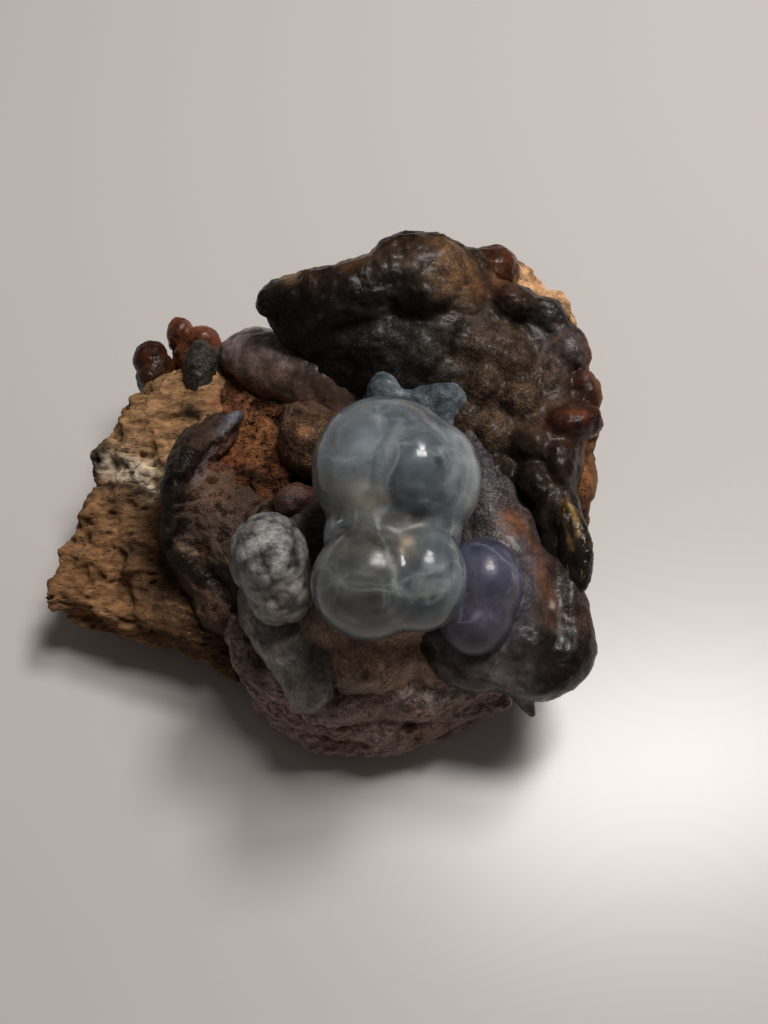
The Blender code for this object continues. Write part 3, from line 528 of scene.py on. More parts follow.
class Finish(Tree):
    """A material on a Principled shader, with patterns on Object coordinates."""

    def __init__(self, name):
        self.material = bpy.data.materials.new(name)
        self.material.use_nodes = True
        super().__init__(self.material.node_tree)
        self.shader = self.tree.nodes["Principled BSDF"]
        self.place = self.add("ShaderNodeTexCoord").outputs["Object"]

    def stretched(self, stretch):
        """The place, drawn out along an axis: a small number in stretch gives a long pattern."""
        return self.add("ShaderNodeMapping", {"Vector": self.place, "Scale": stretch}).outputs[0]

    def swayed(self, size, reach):
        """The place, pushed about by soft noise of this size, by up to about reach millimetres."""
        inputs = {"Vector": self.place, "Scale": 1 / (size * MM), "Detail": 2.0}
        soft = self.add("ShaderNodeTexNoise", inputs)
        push = self.vectors("SUBTRACT", soft.outputs["Color"], (0.5, 0.5, 0.5))
        return self.vectors("ADD", self.place, self.scaled(push, reach * MM))

    def cloud(self, size, detail=4.0, roughness=0.6, warp=0.0, place=None):
        """Noise whose blotches are about this size in millimetres."""
        node = self.add(
            "ShaderNodeTexNoise",
            {"Vector": place or self.place, "Scale": 1 / (size * MM), "Detail": detail,
             "Roughness": roughness, "Distortion": warp},
        )
        return node.outputs["Fac"]

    def ridged(self, size):
        """Noise with sharp crests and rounded valleys, about 0 in the valleys and 1 on the crests."""
        node = self.add(
            "ShaderNodeTexNoise",
            {"Vector": self.place, "Scale": 1 / (size * MM), "Detail": 3.0, "Roughness": 0.5, "Offset": 1.0,
             "Gain": 1.6},
            noise_type="RIDGED_MULTIFRACTAL", normalize=True,
        )
        return node.outputs["Fac"]

    def cells(self, size, feature="F1", place=None):
        """Distance to the middle or the edge of cells of about this size in millimetres, 0 to 1."""
        inputs = {"Vector": place or self.place, "Scale": 1 / (size * MM)}
        return self.add("ShaderNodeTexVoronoi", inputs, feature=feature).outputs["Distance"]

    def mix(self, factor, first, second, blend="MIX"):
        node = self.add("ShaderNodeMix", data_type="RGBA", blend_type=blend)
        for index, value in ((0, factor), (6, first), (7, second)):
            if isinstance(value, tuple):
                value = (*value, 1.0)
            self.feed(node.inputs[index], value)
        return node.outputs[2]

    def bump(self, height, distance, strength=1.0, under=None):
        inputs = {"Height": height, "Distance": distance * MM, "Strength": strength}
        if under is not None:
            inputs["Normal"] = under
        return self.add("ShaderNodeBump", inputs).outputs["Normal"]

    def set(self, **values):
        """Sets the shader's own sockets; an underscore in a name stands for a space."""
        for name, value in values.items():
            if isinstance(value, tuple):
                value = (*value, 1.0)
            self.feed(self.shader.inputs[name.replace("_", " ")], value)
        return self


def display(red, green, blue):
    """A colour as it is seen on a screen, 0 to 255, as the linear values that a shader takes."""
    return tuple(((value / 255 + 0.055) / 1.055) ** 2.4 for value in (red, green, blue))


def unit_ball(subdivisions):
    """The points and faces of a ball of radius 1."""
    bm = bmesh.new()
    bmesh.ops.create_icosphere(bm, subdivisions=subdivisions, radius=1.0)
    bm.verts.index_update()
    points = np.array([vertex.co for vertex in bm.verts])
    faces = np.array([[vertex.index for vertex in face.verts] for face in bm.faces])
    bm.free()
    return points, faces


def placed(name, mesh):
    """A mesh as an object of the scene."""
    obj = bpy.data.objects.new(name, mesh)
    bpy.context.scene.collection.objects.link(obj)
    return obj


def mesh_object(name, points, faces):
    mesh = bpy.data.meshes.new(name)
    mesh.from_pydata(points.tolist(), [], faces.tolist())
    return placed(name, mesh)


def settle(obj):
    """Gives the object the mesh that its modifiers make, and removes them."""
    graph = bpy.context.evaluated_depsgraph_get()
    mesh = bpy.data.meshes.new_from_object(obj.evaluated_get(graph))
    obj.modifiers.clear()
    old = obj.data
    obj.data = mesh
    bpy.data.meshes.remove(old)


def between(before, start, end, after, t):
    """A point of the smooth curve that runs through the stations start and end."""
    return (
        2 * start
        + (end - before) * t
        + (2 * before - 5 * start + 4 * end - after) * t * t
        + (3 * start - before - 3 * end + after) * t * t * t
    ) / 2


def along(stations, spacing=0.3):
    """The balls of a rounded band: set close together on a smooth curve through the stations."""
    rows = [np.array(station) for station in stations]
    rows = [2 * rows[0] - rows[1], *rows, 2 * rows[-1] - rows[-2]]
    balls = []
    for before, start, end, after in zip(rows, rows[1:], rows[2:], rows[3:]):
        length = np.linalg.norm(end[:3] - start[:3])
        steps = max(1, math.ceil(length / (spacing * min(start[3], end[3]))))
        balls += [between(before, start, end, after, step / steps) for step in range(steps)]
    balls.append(rows[-2])
    return [(x, y, z, radius, radius, radius) for x, y, z, radius in balls]


def lobed(name, lobes, rolls=(), subdivisions=3):
    """Overlapping balls, not yet joined."""
    everything = list(lobes) + [ball for roll in rolls for ball in along(roll)]
    ball, ball_faces = unit_ball(subdivisions)
    rows = np.array(everything)
    points = rows[:, None, :3] + ball[None] * rows[:, None, 3:]
    faces = ball_faces[None] + len(ball) * np.arange(len(rows))[:, None, None]
    return mesh_object(name, points.reshape(-1, 3) * MM, faces.reshape(-1, 3))


def hulls(name, blocks):
    """Overlapping blocks, each the hull of its corners."""
    bm = bmesh.new()
    for corners in blocks:
        made = [bm.verts.new(Vector(corner) * MM) for corner in corners]
        hull = bmesh.ops.convex_hull(bm, input=made)
        spare = set(hull["geom_interior"]) | set(hull["geom_unused"])
        bmesh.ops.delete(bm, geom=[e for e in spare if isinstance(e, bmesh.types.BMVert)], context="VERTS")
    mesh = bpy.data.meshes.new(name)
    bm.to_mesh(mesh)
    bm.free()
    return placed(name, mesh)


def fuse(obj, voxel, rounding):
    """Joins the overlapping shapes of an object into one skin, and rounds the joins."""
    remesh = obj.modifiers.new("Fuse", "REMESH")
    remesh.mode = "VOXEL"
    remesh.voxel_size = voxel
    smooth = obj.modifiers.new("Round", "SMOOTH")
    smooth.factor = 0.5
    smooth.iterations = rounding
    settle(obj)
    return obj


def points_of(obj):
    """The places of an object's points, in millimetres."""
    places = np.empty(len(obj.data.vertices) * 3)
    obj.data.vertices.foreach_get("co", places)
    return places.reshape(-1, 3) / MM


def normals_of(obj):
    normals = np.empty(len(obj.data.vertices) * 3)
    obj.data.vertices.foreach_get("normal", normals)
    return normals.reshape(-1, 3)


def move_points(obj, places):
    obj.data.vertices.foreach_set("co", (places * MM).ravel())
    obj.data.update()


def noise_at(places, size):
    """Smooth noise from -1 to 1 at each place, with blotches of about this size in millimetres."""
    return np.array([noise.noise(place) for place in (places / size).tolist()])


def roughen(obj, height=1.0, length=6.0, pits=1.0, pit_length=3.0):
    """Broken-rock relief: ledges along the rock's grain, and pits."""
    places = points_of(obj)
    ledge = noise_at(places * (0.5, 1.0, 1.8), length)
    pit = noise_at(places, pit_length)
    lift = height * (1.0 - 2.0 * np.abs(ledge)) - height / 2 - pits * np.maximum(0.0, pit) * 2
    move_points(obj, places + normals_of(obj) * lift[:, None])


def sway(obj):
    """Takes the regularity out of a grown shape: everything drifts a little, smoothly."""
    places = points_of(obj)
    drift = [[noise.noise(place) for place in (places / SWAY_LENGTH + step).tolist()] for step in SWAY_STEPS]
    move_points(obj, places + np.transpose(drift) * SWAY)


def pebble(obj, height):
    """Botryoidal relief: rounded bumps that meet in creases, bold on the right and faint on the left."""
    places = points_of(obj)
    near = np.array([noise.voronoi(place)[0][0] for place in (places / PEBBLE_SIZE).tolist()])
    bold = np.clip((places[:, 0] - PEBBLE_CALM_X) / (PEBBLE_FULL_X - PEBBLE_CALM_X), PEBBLE_LEAST, 1.0)
    move_points(obj, places + normals_of(obj) * (height * bold * (0.5 - near**2))[:, None])


def keep_above(obj, height=0.0):
    """Presses whatever lies below the table's height flat onto it."""
    places = points_of(obj)
    places[:, 2] = np.maximum(places[:, 2], height)
    move_points(obj, places)


def store(obj, name, values, kind="FLOAT"):
    """Keeps a value or a colour for each point of an object."""
    if name in obj.data.attributes:
        obj.data.attributes.remove(obj.data.attributes[name])
    attribute = obj.data.attributes.new(name, kind, "POINT")
    field = "value" if kind == "FLOAT" else "color"
    attribute.data.foreach_set(field, np.asarray(values, np.float32).ravel())


def solid(obj):
    """An object's surface, for the camera's rays to meet."""
    faces = [tuple(face.vertices) for face in obj.data.polygons]
    return BVHTree.FromPolygons([point.co for point in obj.data.vertices], faces)


def node_solid(name):
    return [solid(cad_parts[name])]


def seen(point, solids):
    """The place, in millimetres, where the camera sees a point of the picture on these solids."""
    zoom = LENS / SENSOR * PICTURE[1]
    for miss in MISSES:
        for turn in range(MISS_TURNS if miss else 1):
            angle = math.tau * turn / MISS_TURNS
            right = point[0] + miss * math.cos(angle) - PICTURE[0] / 2
            down = point[1] + miss * math.sin(angle) - PICTURE[1] / 2
            ray = AIM @ Vector((right, -down, -zoom)).normalized()
            hits = [surface.ray_cast(CAMERA, ray) for surface in solids]
            hits = [hit for hit in hits if hit[0] is not None]
            if hits:
                return min(hits, key=lambda hit: hit[3])[0] / MM
    raise ValueError(f"no solid is seen near {point}")


def reach_of(places, path):
    """Distance from each place to a path of one or more points."""
    path = np.array(path, float).reshape(-1, 3)
    if len(path) == 1:
        return np.linalg.norm(places - path[0], axis=1)
    best = np.full(len(places), np.inf)
    for start, end in zip(path, path[1:]):
        run = end - start
        share = np.clip((places - start) @ run / (run @ run), 0.0, 1.0)
        best = np.minimum(best, np.linalg.norm(places - start - share[:, None] * run, axis=1))
    return best


def share_of(places, path, radius, wander):
    """How much of a patch lies at each place: 1 in its middle, falling to 0 past its radius."""
    reach = reach_of(places, path) / (radius * wander)
    return 1.0 / (1.0 + reach**4)


def paint(obj, ground, patches, frost=0.3, solids=()):
    """Colours a piece: a ground colour with soft patches over it, which are placed on these solids."""
    places = points_of(obj)
    wander = 1.0 + 0.35 * noise_at(places, 2.2) + 0.2 * noise_at(places, 0.9)
    colour = np.tile(np.array(ground), (len(places), 1))
    frosting = np.full(len(places), frost)
    for path, radius, strength, tint, frosted in patches:
        share = strength * share_of(places, [seen(point, solids) for point in path], radius, wander)
        colour += (np.array(display(*tint)) - colour) * share[:, None]
        if frosted is not None:
            frosting += (frosted - frosting) * share
    store(obj, "tint", np.column_stack([colour, np.ones(len(places))]), "FLOAT_COLOR")
    store(obj, "frost", frosting)


def finished(obj, slot, *nodes):
    """Finishes a piece: shades it smooth, puts it under its body and hides the solids that it stands for. The
    slot is not used.
    """
    obj.data.shade_smooth()
    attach(obj, BODY)
    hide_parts(*nodes)
    return obj


def geometry_tree(name, **inputs):
    """A Geometry Nodes tree with named inputs, and its input node."""
    group = bpy.data.node_groups.new(name, "GeometryNodeTree")
    group.interface.new_socket("Geometry", in_out="INPUT", socket_type="NodeSocketGeometry")
    for label, kind in inputs.items():
        group.interface.new_socket(label, in_out="INPUT", socket_type="NodeSocket" + kind)
    group.interface.new_socket("Geometry", in_out="OUTPUT", socket_type="NodeSocketGeometry")
    tree = Tree(group)
    return tree, tree.add("NodeGroupInput").outputs


def close_tree(tree, geometry, material):
    """Ends a tree in real geometry that carries its material."""
    realize = tree.add("GeometryNodeRealizeInstances", {"Geometry": geometry})
    coat = tree.add("GeometryNodeSetMaterial", {"Geometry": realize.outputs[0], "Material": material})
    tree.add("NodeGroupOutput", {"Geometry": coat.outputs[0]})
    return tree.tree


def run_tree(obj, group, **values):
    """Runs a tree on an object and keeps the result as its plain mesh."""
    modifier = obj.modifiers.new(group.name, "NODES")
    modifier.node_group = group
    for label, value in values.items():
        modifier[group.interface.items_tree[label].identifier] = value
    settle(obj)
    return obj


def voronoi_in(tree, place, size):
    scale = tree.over(1.0, size)
    return tree.add("ShaderNodeTexVoronoi", {"Vector": place, "Scale": scale})


def raised(tree, geometry, height):
    """Moves points along their normals by a height field."""
    offset = tree.scaled(tree.add("GeometryNodeInputNormal").outputs[0], height)
    return tree.add("GeometryNodeSetPosition", {"Geometry": geometry, "Offset": offset}).outputs[0]


def stored(tree, geometry, name, value):
    node = tree.add("GeometryNodeStoreNamedAttribute", data_type="FLOAT", domain="POINT")
    tree.feed(node.inputs["Geometry"], geometry)
    tree.feed(node.inputs["Name"], name)
    tree.feed(node.inputs["Value"], value)
    return node.outputs[0]


def botryoidal_tree():
    """Rounded bumps that meet in creases, with finer grains and uneven wrinkles over them."""
    tree, given = geometry_tree(
        "botryoidal relief", Bump="Float", Height="Float", Grain="Float", GrainHeight="Float",
        Wrinkle="Float",
        WrinkleHeight="Float", Finish="Material",
    )
    place = tree.add("GeometryNodeInputPosition").outputs[0]
    bump = voronoi_in(tree, place, given["Bump"]).outputs["Distance"]
    grain = voronoi_in(tree, place, given["Grain"]).outputs["Distance"]
    crown = tree.minus(0.35, tree.times(bump, bump))
    speck = tree.minus(0.35, tree.times(grain, grain))
    lift = tree.plus(tree.times(crown, given["Height"]), tree.times(speck, given["GrainHeight"]))
    uneven = tree.add(
        "ShaderNodeTexNoise",
        {"Vector": place, "Scale": tree.over(1.0, given["Wrinkle"]), "Detail": 4.0, "Roughness": 0.6},
    ).outputs[0]
    uneven = tree.times(tree.minus(uneven, 0.5), given["WrinkleHeight"])
    lift = tree.plus(lift, uneven)
    geometry = raised(tree, given["Geometry"], lift)
    # Where the creases between the bumps lie, kept for the finish, which paints shade in them.
    geometry = stored(tree, geometry, "crease", tree.spread(bump, 0.45, 0.85))
    return close_tree(tree, geometry, given["Finish"])


def stone_tree():
    """Open pores drawn out along the rock's grain, with crumbly ledges between them."""
    tree, given = geometry_tree(
        "porous stone", Pore="Float", Depth="Float", Stretch="Vector", Ledge="Float", LedgeHeight="Float",
        Clump="Float", ClumpHeight="Float", Finish="Material",
    )
    place = tree.add("GeometryNodeInputPosition").outputs[0]
    drawn = tree.vectors("MULTIPLY", place, given["Stretch"])
    swirl = tree.add(
        "ShaderNodeTexNoise", {"Vector": place, "Scale": tree.over(0.3, given["Pore"]), "Detail": 2.0}
    ).outputs["Color"]
    drawn = tree.vectors("ADD", drawn, tree.scaled(swirl, tree.times(given["Pore"], 1.2)))
    pore = voronoi_in(tree, drawn, given["Pore"])
    pick = tree.add("FunctionNodeSeparateColor", {"Color": pore.outputs["Color"]}).outputs[0]
    chosen = tree.spread(pick, 0.35, 0.55)
    pit = tree.times(tree.spread(pore.outputs["Distance"], 0.42, 0.1), chosen)
    crumb = tree.add(
        "ShaderNodeTexNoise", {"Vector": drawn, "Scale": tree.over(1.0, given["Ledge"]), "Detail": 5.0,
                               "Roughness": 0.65}
    ).outputs["Fac"]
    ledge = tree.times(tree.minus(crumb, 0.5), given["LedgeHeight"])
    gap = voronoi_in(tree, drawn, given["Clump"]).outputs["Distance"]
    clump = tree.times(tree.minus(0.3, tree.times(gap, gap)), given["ClumpHeight"])
    lift = tree.minus(tree.plus(ledge, clump), tree.times(pit, given["Depth"]))
    geometry = raised(tree, given["Geometry"], lift)
    # Painted shade: the pits and the gaps between clumps are kept as the pore value, which the finish
    # darkens.
    dark = tree.times(tree.spread(gap, 0.45, 0.85), 0.6)
    geometry = stored(tree, geometry, "pore", tree.maths("MAXIMUM", pit, dark))
    return close_tree(tree, geometry, given["Finish"])


def crumb_tree():
    """Loose crumbs scattered on a surface, where its crumbs attribute says."""
    tree, given = geometry_tree(
        "scattered crumbs", Density="Float", Size="Float", Seed="Int", Finish="Material"
    )
    share = tree.add("GeometryNodeInputNamedAttribute", {"Name": "crumbs"}, data_type="FLOAT").outputs[0]
    spots = tree.add(
        "GeometryNodeDistributePointsOnFaces", {"Seed": given["Seed"]}, distribute_method="RANDOM"
    )
    tree.feed(spots.inputs["Mesh"], given["Geometry"])
    tree.feed(spots.inputs["Density"], tree.times(share, given["Density"]))
    crumb = tree.add("GeometryNodeMeshIcoSphere", {"Radius": given["Size"], "Subdivisions": 1})
    turn = tree.add("FunctionNodeRandomValue", {"Seed": given["Seed"]}, data_type="FLOAT_VECTOR")
    turn.inputs["Max"].default_value = (math.tau, math.tau, math.tau)
    other_seed = tree.plus(given["Seed"], 1.0)
    scale = tree.add("FunctionNodeRandomValue", {"Seed": other_seed}, data_type="FLOAT_VECTOR")
    scale.inputs["Min"].default_value = (0.45, 0.45, 0.35)
    scale.inputs["Max"].default_value = (1.5, 1.2, 0.9)
    placed = tree.add(
        "GeometryNodeInstanceOnPoints",
        {"Points": spots.outputs["Points"], "Instance": crumb.outputs["Mesh"],
         "Rotation": turn.outputs["Value"], "Scale": scale.outputs["Value"]},
    )
    return close_tree(tree, placed.outputs["Instances"], given["Finish"])


def stone_finish(name, fleck, pore_shade, streak=(1.0, 1.0, 1.0)):
    """Porous stone: its painted tint, mottled, with painted shade in the pores and between the clumps, and
    pale flecks.
    """
    made = Finish(name)
    tint = made.attribute("tint").outputs["Color"]
    pore = made.attribute("pore").outputs["Fac"]
    drawn = made.stretched(streak)
    mottle = made.spread(made.cloud(1.6, 6.0, 0.7, place=drawn), 0.3, 0.72, 0.45, 1.55)
    shade = made.add("ShaderNodeCombineColor", {0: mottle, 1: mottle, 2: mottle}).outputs[0]
    colour = made.mix(1.0, tint, shade, "MULTIPLY")
    flecks = made.spread(made.cloud(0.45, 3.0, 0.6, place=drawn), 0.58, 0.74)
    colour = made.mix(made.times(flecks, 0.55), colour, fleck)
    small = made.spread(made.cells(0.62, place=drawn), 0.34, 0.12)
    picked = made.spread(made.cloud(2.4, 2.0), 0.45, 0.6)
    # Painted shade: the pores and the small cells are darkened towards the pore shade colour.
    shaded_pores = made.maths("MAXIMUM", pore, made.times(made.times(small, picked), 0.8))
    colour = made.mix(made.times(shaded_pores, 0.85), colour, pore_shade)
    fine = made.cloud(0.28, 5.0, 0.7, place=drawn)
    relief = made.bump(fine, 0.22, 0.8)
    relief = made.bump(made.minus(1.0, small), 0.3, 0.6, relief)
    rough = made.spread(fine, 0.3, 0.7, 0.78, 0.98)
    made.set(Base_Color=colour, Roughness=rough, Normal=relief)
    made.set(Specular_IOR_Level=0.25)
    return made.material


def opal_finish(
    name, coat=0.12, fibre=0.0, run=(1.0, 1.0, 0.12), thread=None, clear=0.0, crinkle=0.0, cloudy=None,
    gloss=0.3, crease_shade=0.3,
):
    """Dark opal skin: its painted tint, mottled, glossy or frosted as its frost says, and crinkled, with
    painted shade in the creases and between the grains, and pale grain specks that are partly painted
    sparkle.
    """
    made = Finish(name)
    tint = made.attribute("tint").outputs["Color"]
    frost = made.attribute("frost").outputs["Fac"]
    mottle = made.spread(made.cloud(2.2, 5.0, 0.62, 0.4), 0.32, 0.7, 0.5, 1.6)
    shade = made.add("ShaderNodeCombineColor", {0: mottle, 1: mottle, 2: mottle}).outputs[0]
    colour = made.mix(1.0, tint, shade, "MULTIPLY")
    if cloudy:
        puffs = made.spread(made.cloud(1.5, 5.0, 0.6, 0.8), 0.46, 0.62)
        colour = made.mix(made.times(puffs, 0.55), colour, cloudy)
    # Painted shade: the creases between the bumps are darkened towards black.
    crease = made.attribute("crease").outputs["Fac"]
    colour = made.mix(made.times(crease, crease_shade), colour, (0.004, 0.003, 0.002))
    grain = made.cells(0.4)
    # Pale specks on the grains of frosted skin: partly the grains' own paler colour, partly painted sparkle.
    grit = made.times(made.spread(grain, 0.36, 0.1), made.spread(made.cloud(1.1, 3.0), 0.4, 0.6))
    speck_and_sparkle = made.times(made.times(grit, frost), 0.75)
    colour = made.mix(speck_and_sparkle, colour, made.mix(1.0, tint, (0.16, 0.13, 0.10), "ADD"))
    # Painted shade: frosted skin is darkened in the gaps between its grains.
    grain_gap_shade = made.times(made.times(made.spread(grain, 0.4, 0.65), frost), 0.7)
    colour = made.mix(grain_gap_shade, colour, (0.004, 0.003, 0.002))
    relief = made.bump(made.minus(1.0, grain), 0.14, made.times(frost, 0.9))
    relief = made.bump(made.cloud(0.9, 4.0, 0.55), 0.16, 0.5, relief)
    if fibre:
        threads = made.cloud(0.6, 3.0, 0.6, place=made.stretched(run))
        relief = made.bump(threads, 0.2, fibre, relief)
        if thread:
            colour = made.mix(made.times(made.spread(threads, 0.58, 0.7), 0.8), colour, thread)
    if crinkle:
        crest = made.ridged(2.2)
        pale = made.mix(1.0, tint, (0.10, 0.075, 0.058), "ADD")
        lines = made.times(made.spread(crest, 0.55, 0.85), frost)
        colour = made.mix(made.times(lines, crinkle, clamp=True), colour, pale)
        relief = made.bump(crest, 0.45, crinkle, relief)
    sheen = made.spread(made.cloud(0.7, 4.0), 0.3, 0.7, 0.2, 0.42)
    rough = made.plus(made.times(frost, 0.4), sheen)
    made.set(Base_Color=colour, Roughness=rough, Normal=relief)
    made.set(Coat_Weight=coat, Coat_Roughness=0.14, Specular_IOR_Level=gloss)
    made.set(IOR=1.45, Transmission_Weight=clear)
    return made.material


def glass_finish(name, milk, clear, absorb=None, density=0.0, rough=0.2, cloud=0.3):
    """See-through opal: plain transmission, clouded by milk that also scatters."""
    made = Finish(name)
    tint = made.attribute("tint").outputs["Color"]
    frost = made.attribute("frost").outputs["Fac"]
    smoke = made.spread(made.cloud(4.6, 3.0, 0.55, 0.8), 0.34, 0.66, 0.7, 1.2)
    shade = made.add("ShaderNodeCombineColor", {0: smoke, 1: smoke, 2: smoke}).outputs[0]
    colour = made.mix(1.0, tint, shade, "MULTIPLY")
    wisp = made.spread(made.cloud(2.0, 4.0, 0.55, 0.5), 0.44, 0.7)
    drawn = made.spread(made.ridged(5.5), 0.5, 0.95)
    clouds = made.plus(made.times(wisp, 0.5), made.times(drawn, 0.4))
    wall = made.cells(7.5, "DISTANCE_TO_EDGE", place=made.swayed(3.0, 2.6))
    web = made.times(made.spread(wall, 0.05, 0.0), made.spread(made.cloud(4.0, 2.0), 0.35, 0.6))
    clouds = made.plus(clouds, made.times(web, 1.4))
    colour = made.mix(made.times(clouds, 0.45), colour, milk)
    milky = made.plus(made.times(clouds, cloud), made.times(frost, 0.5))
    see = made.minus(clear, milky)
    relief = made.bump(made.cloud(3.4, 3.0, 0.5), 0.2, 0.35)
    relief = made.bump(made.cloud(0.6, 3.0, 0.5), 0.03, 0.4, relief)
    gloss = made.spread(made.cloud(1.2, 4.0), 0.3, 0.7, rough, rough + 0.1)
    gloss = made.plus(gloss, made.times(frost, 0.5))
    made.set(Base_Color=colour, Roughness=gloss, Normal=relief)
    made.set(Transmission_Weight=see, IOR=1.45, Coat_Weight=0.15, Coat_Roughness=0.1)
    if absorb:
        volume = made.add("ShaderNodeVolumeAbsorption", {"Color": (*absorb, 1.0), "Density": density})
        output = made.tree.nodes["Material Output"]
        made.tree.links.new(volume.outputs[0], output.inputs["Volume"])
    return made.material


def length_setting(name, description, millimetres):
    return FloatProperty(
        name=name, description=description, default=millimetres * MM, unit="LENGTH", precision=5
    )


def power_setting(name, description, watts):
    return FloatProperty(name=name, description=description, default=watts)


def colour_setting(name, description, red, green, blue):
    return FloatVectorProperty(
        name=name, description=description, subtype="COLOR", default=display(red, green, blue)
    )


class SpecimenSizes(bpy.types.PropertyGroup):
    """How finely the pieces are skinned, and the sizes of their relief."""

    crust_cell: length_setting("Crust Cell", "Cell that the opal crust is skinned with", 0.34)
    rock_cell: length_setting("Rock Cell", "Cell that the body of the rock is skinned with", 0.5)
    slab_cell: length_setting("Slab Cell", "Cell that the broken slab is skinned with", 0.3)
    bubble_cell: length_setting("Bubble Cell", "Cell that the clear bubbles are skinned with", 0.25)
    crumb_size: length_setting("Crumb Size", "Radius of the loose rusty crumbs", 0.24)
    crumb_seed: IntProperty(name="Crumb Seed", description="Seed of the scattered crumbs", default=7)


class SpecimenColours(bpy.types.PropertyGroup):
    """Ground colours of the pieces."""

    tan_stone: colour_setting("Tan Stone", "Broken faces of the slab", 132, 98, 66)
    brown_stone: colour_setting("Brown Stone", "Body of the rock", 98, 66, 44)
    rust: colour_setting("Rust", "Crumbly iron stone in the pocket", 116, 72, 48)
    wall: colour_setting("Wall", "The dark opal wall", 17, 13, 11)
    hollow: colour_setting("Hollow", "Frosted purple-grey opal in the hollow", 100, 92, 92)
    skirt: colour_setting("Skirt", "Folded opal below the front", 166, 140, 130)
    milk: colour_setting("Milk", "Clouds in the clear bubbles", 188, 194, 192)
    smoke: colour_setting("Smoke", "Ground of the clear bubbles", 202, 214, 228)
    violet: colour_setting("Violet", "The violet-blue dome", 112, 112, 138)
    amber: colour_setting("Amber", "Amber opal knobs and beads", 112, 62, 40)


class StageSettings(bpy.types.PropertyGroup):
    """The floor and the lights."""

    floor: colour_setting("Floor", "Colour of the floor", 206, 201, 198)
    key_power: power_setting("Key Light", "Power of the overhead light in watts", 1.3)
    window_power: power_setting("Window Light", "Power of the light from the back right in watts", 1.8)
    fill_power: power_setting("Fill Light", "Power of the low side light in watts", 0.08)
    sky: power_setting("Room Light", "Strength of the even light of the room", 0.075)


def sizes():
    return bpy.context.scene.specimen_sizes


def colours():
    return bpy.context.scene.specimen_colours


class MakeRock(bpy.types.Operator):
    """Make the body of the porous host rock and its broken slab"""

    bl_idname = "specimen.make_rock"
    bl_label = "Rock"

    def execute(self, context):
        ground = colours()
        finish = stone_finish("brown_stone", display(150, 110, 74), display(20, 13, 9))
        body = fuse(hulls("rock_body", [HEART, BACK_BLOCK]), sizes().rock_cell, 4)
        sway(body)
        roughen(body)
        fuse(body, sizes().rock_cell, 1)
        run_tree(
            body, stone_tree(), Pore=1.9 * MM, Depth=0.8 * MM, Stretch=(0.6, 0.8, 1.0), Ledge=2.6 * MM,
            LedgeHeight=1.0 * MM, Clump=1.8 * MM, ClumpHeight=0.5 * MM, Finish=finish,
        )
        keep_above(body)
        paint(body, tuple(ground.brown_stone), ROCK_PATCHES, solids=node_solid("matrix"))
        finished(body, "porous_rock", "matrix")

        finish = stone_finish("tan_stone", display(176, 140, 100), display(34, 21, 13), (0.5, 1.0, 1.0))
        slab = fuse(hulls("broken_slab", [LOW_SLAB, HIGH_SLAB]), sizes().slab_cell, 8)
        sway(slab)
        roughen(slab)
        run_tree(
            slab, stone_tree(), Pore=1.2 * MM, Depth=0.7 * MM, Stretch=(0.42, 1.0, 1.0), Ledge=1.7 * MM,
            LedgeHeight=1.2 * MM, Clump=0.95 * MM, ClumpHeight=0.55 * MM, Finish=finish,
        )
        paint(slab, tuple(ground.tan_stone), SLAB_PATCHES, solids=node_solid("matrix"))
        finished(slab, "porous_rock", "matrix")
        return {"FINISHED"}


class MakePocket(bpy.types.Operator):
    """Make the rusty pocket of iron stone and its loose crumbs"""

    bl_idname = "specimen.make_pocket"
    bl_label = "Rusty Pocket"

    def execute(self, context):
        finish = stone_finish("rusty_stone", display(150, 92, 54), display(22, 12, 8))
        pocket = fuse(hulls("rusty_pocket", [POCKET]), sizes().slab_cell, 6)
        sway(pocket)
        roughen(pocket)
        run_tree(
            pocket, stone_tree(), Pore=1.5 * MM, Depth=1.1 * MM, Stretch=(0.8, 1.0, 1.0), Ledge=1.5 * MM,
            LedgeHeight=1.7 * MM, Clump=1.1 * MM, ClumpHeight=0.7 * MM, Finish=finish,
        )
        paint(pocket, tuple(colours().rust), POCKET_PATCHES, solids=node_solid("matrix"))
        places = points_of(pocket)
        up = np.clip(normals_of(pocket)[:, 2] * 1.5, 0.0, 1.0)
        store(pocket, "crumbs", up * np.clip(0.5 + 1.2 * noise_at(places, 3.0), 0.0, 1.0))
        crumbs = placed("rust_crumbs", pocket.data.copy())
        run_tree(
            crumbs, crumb_tree(), Density=6.0 / MM**2, Size=sizes().crumb_size, Seed=sizes().crumb_seed,
            Finish=finish,
        )
        paint(crumbs, tuple(colours().rust), POCKET_PATCHES, solids=node_solid("matrix"))
        finished(pocket, "porous_rock", "matrix")
        finished(crumbs, "porous_rock", "matrix")
        return {"FINISHED"}


def crust_piece(
    name, lobes, rolls, finish, ground, patches, frost, relief=0.9, rounding=4, bump=(1.5, 0.12),
    wrinkle=(3.5, 1.6), cell=None,
):
    """A piece of the crust: fused lobes and rolls with botryoidal relief, painted."""
    piece = fuse(lobed(name, lobes, rolls), cell or sizes().crust_cell, rounding)
    sway(piece)
    pebble(piece, relief)
    run_tree(
        piece, botryoidal_tree(), Bump=bump[0] * MM, Height=bump[1] * MM, Grain=GRAIN, GrainHeight=0.0,
        Wrinkle=wrinkle[0] * MM, WrinkleHeight=wrinkle[1] * MM, Finish=finish,
    )
    keep_above(piece)
    paint(piece, ground, patches, frost, node_solid("opal_crust"))
    return finished(piece, "dark_opal", "opal_crust")


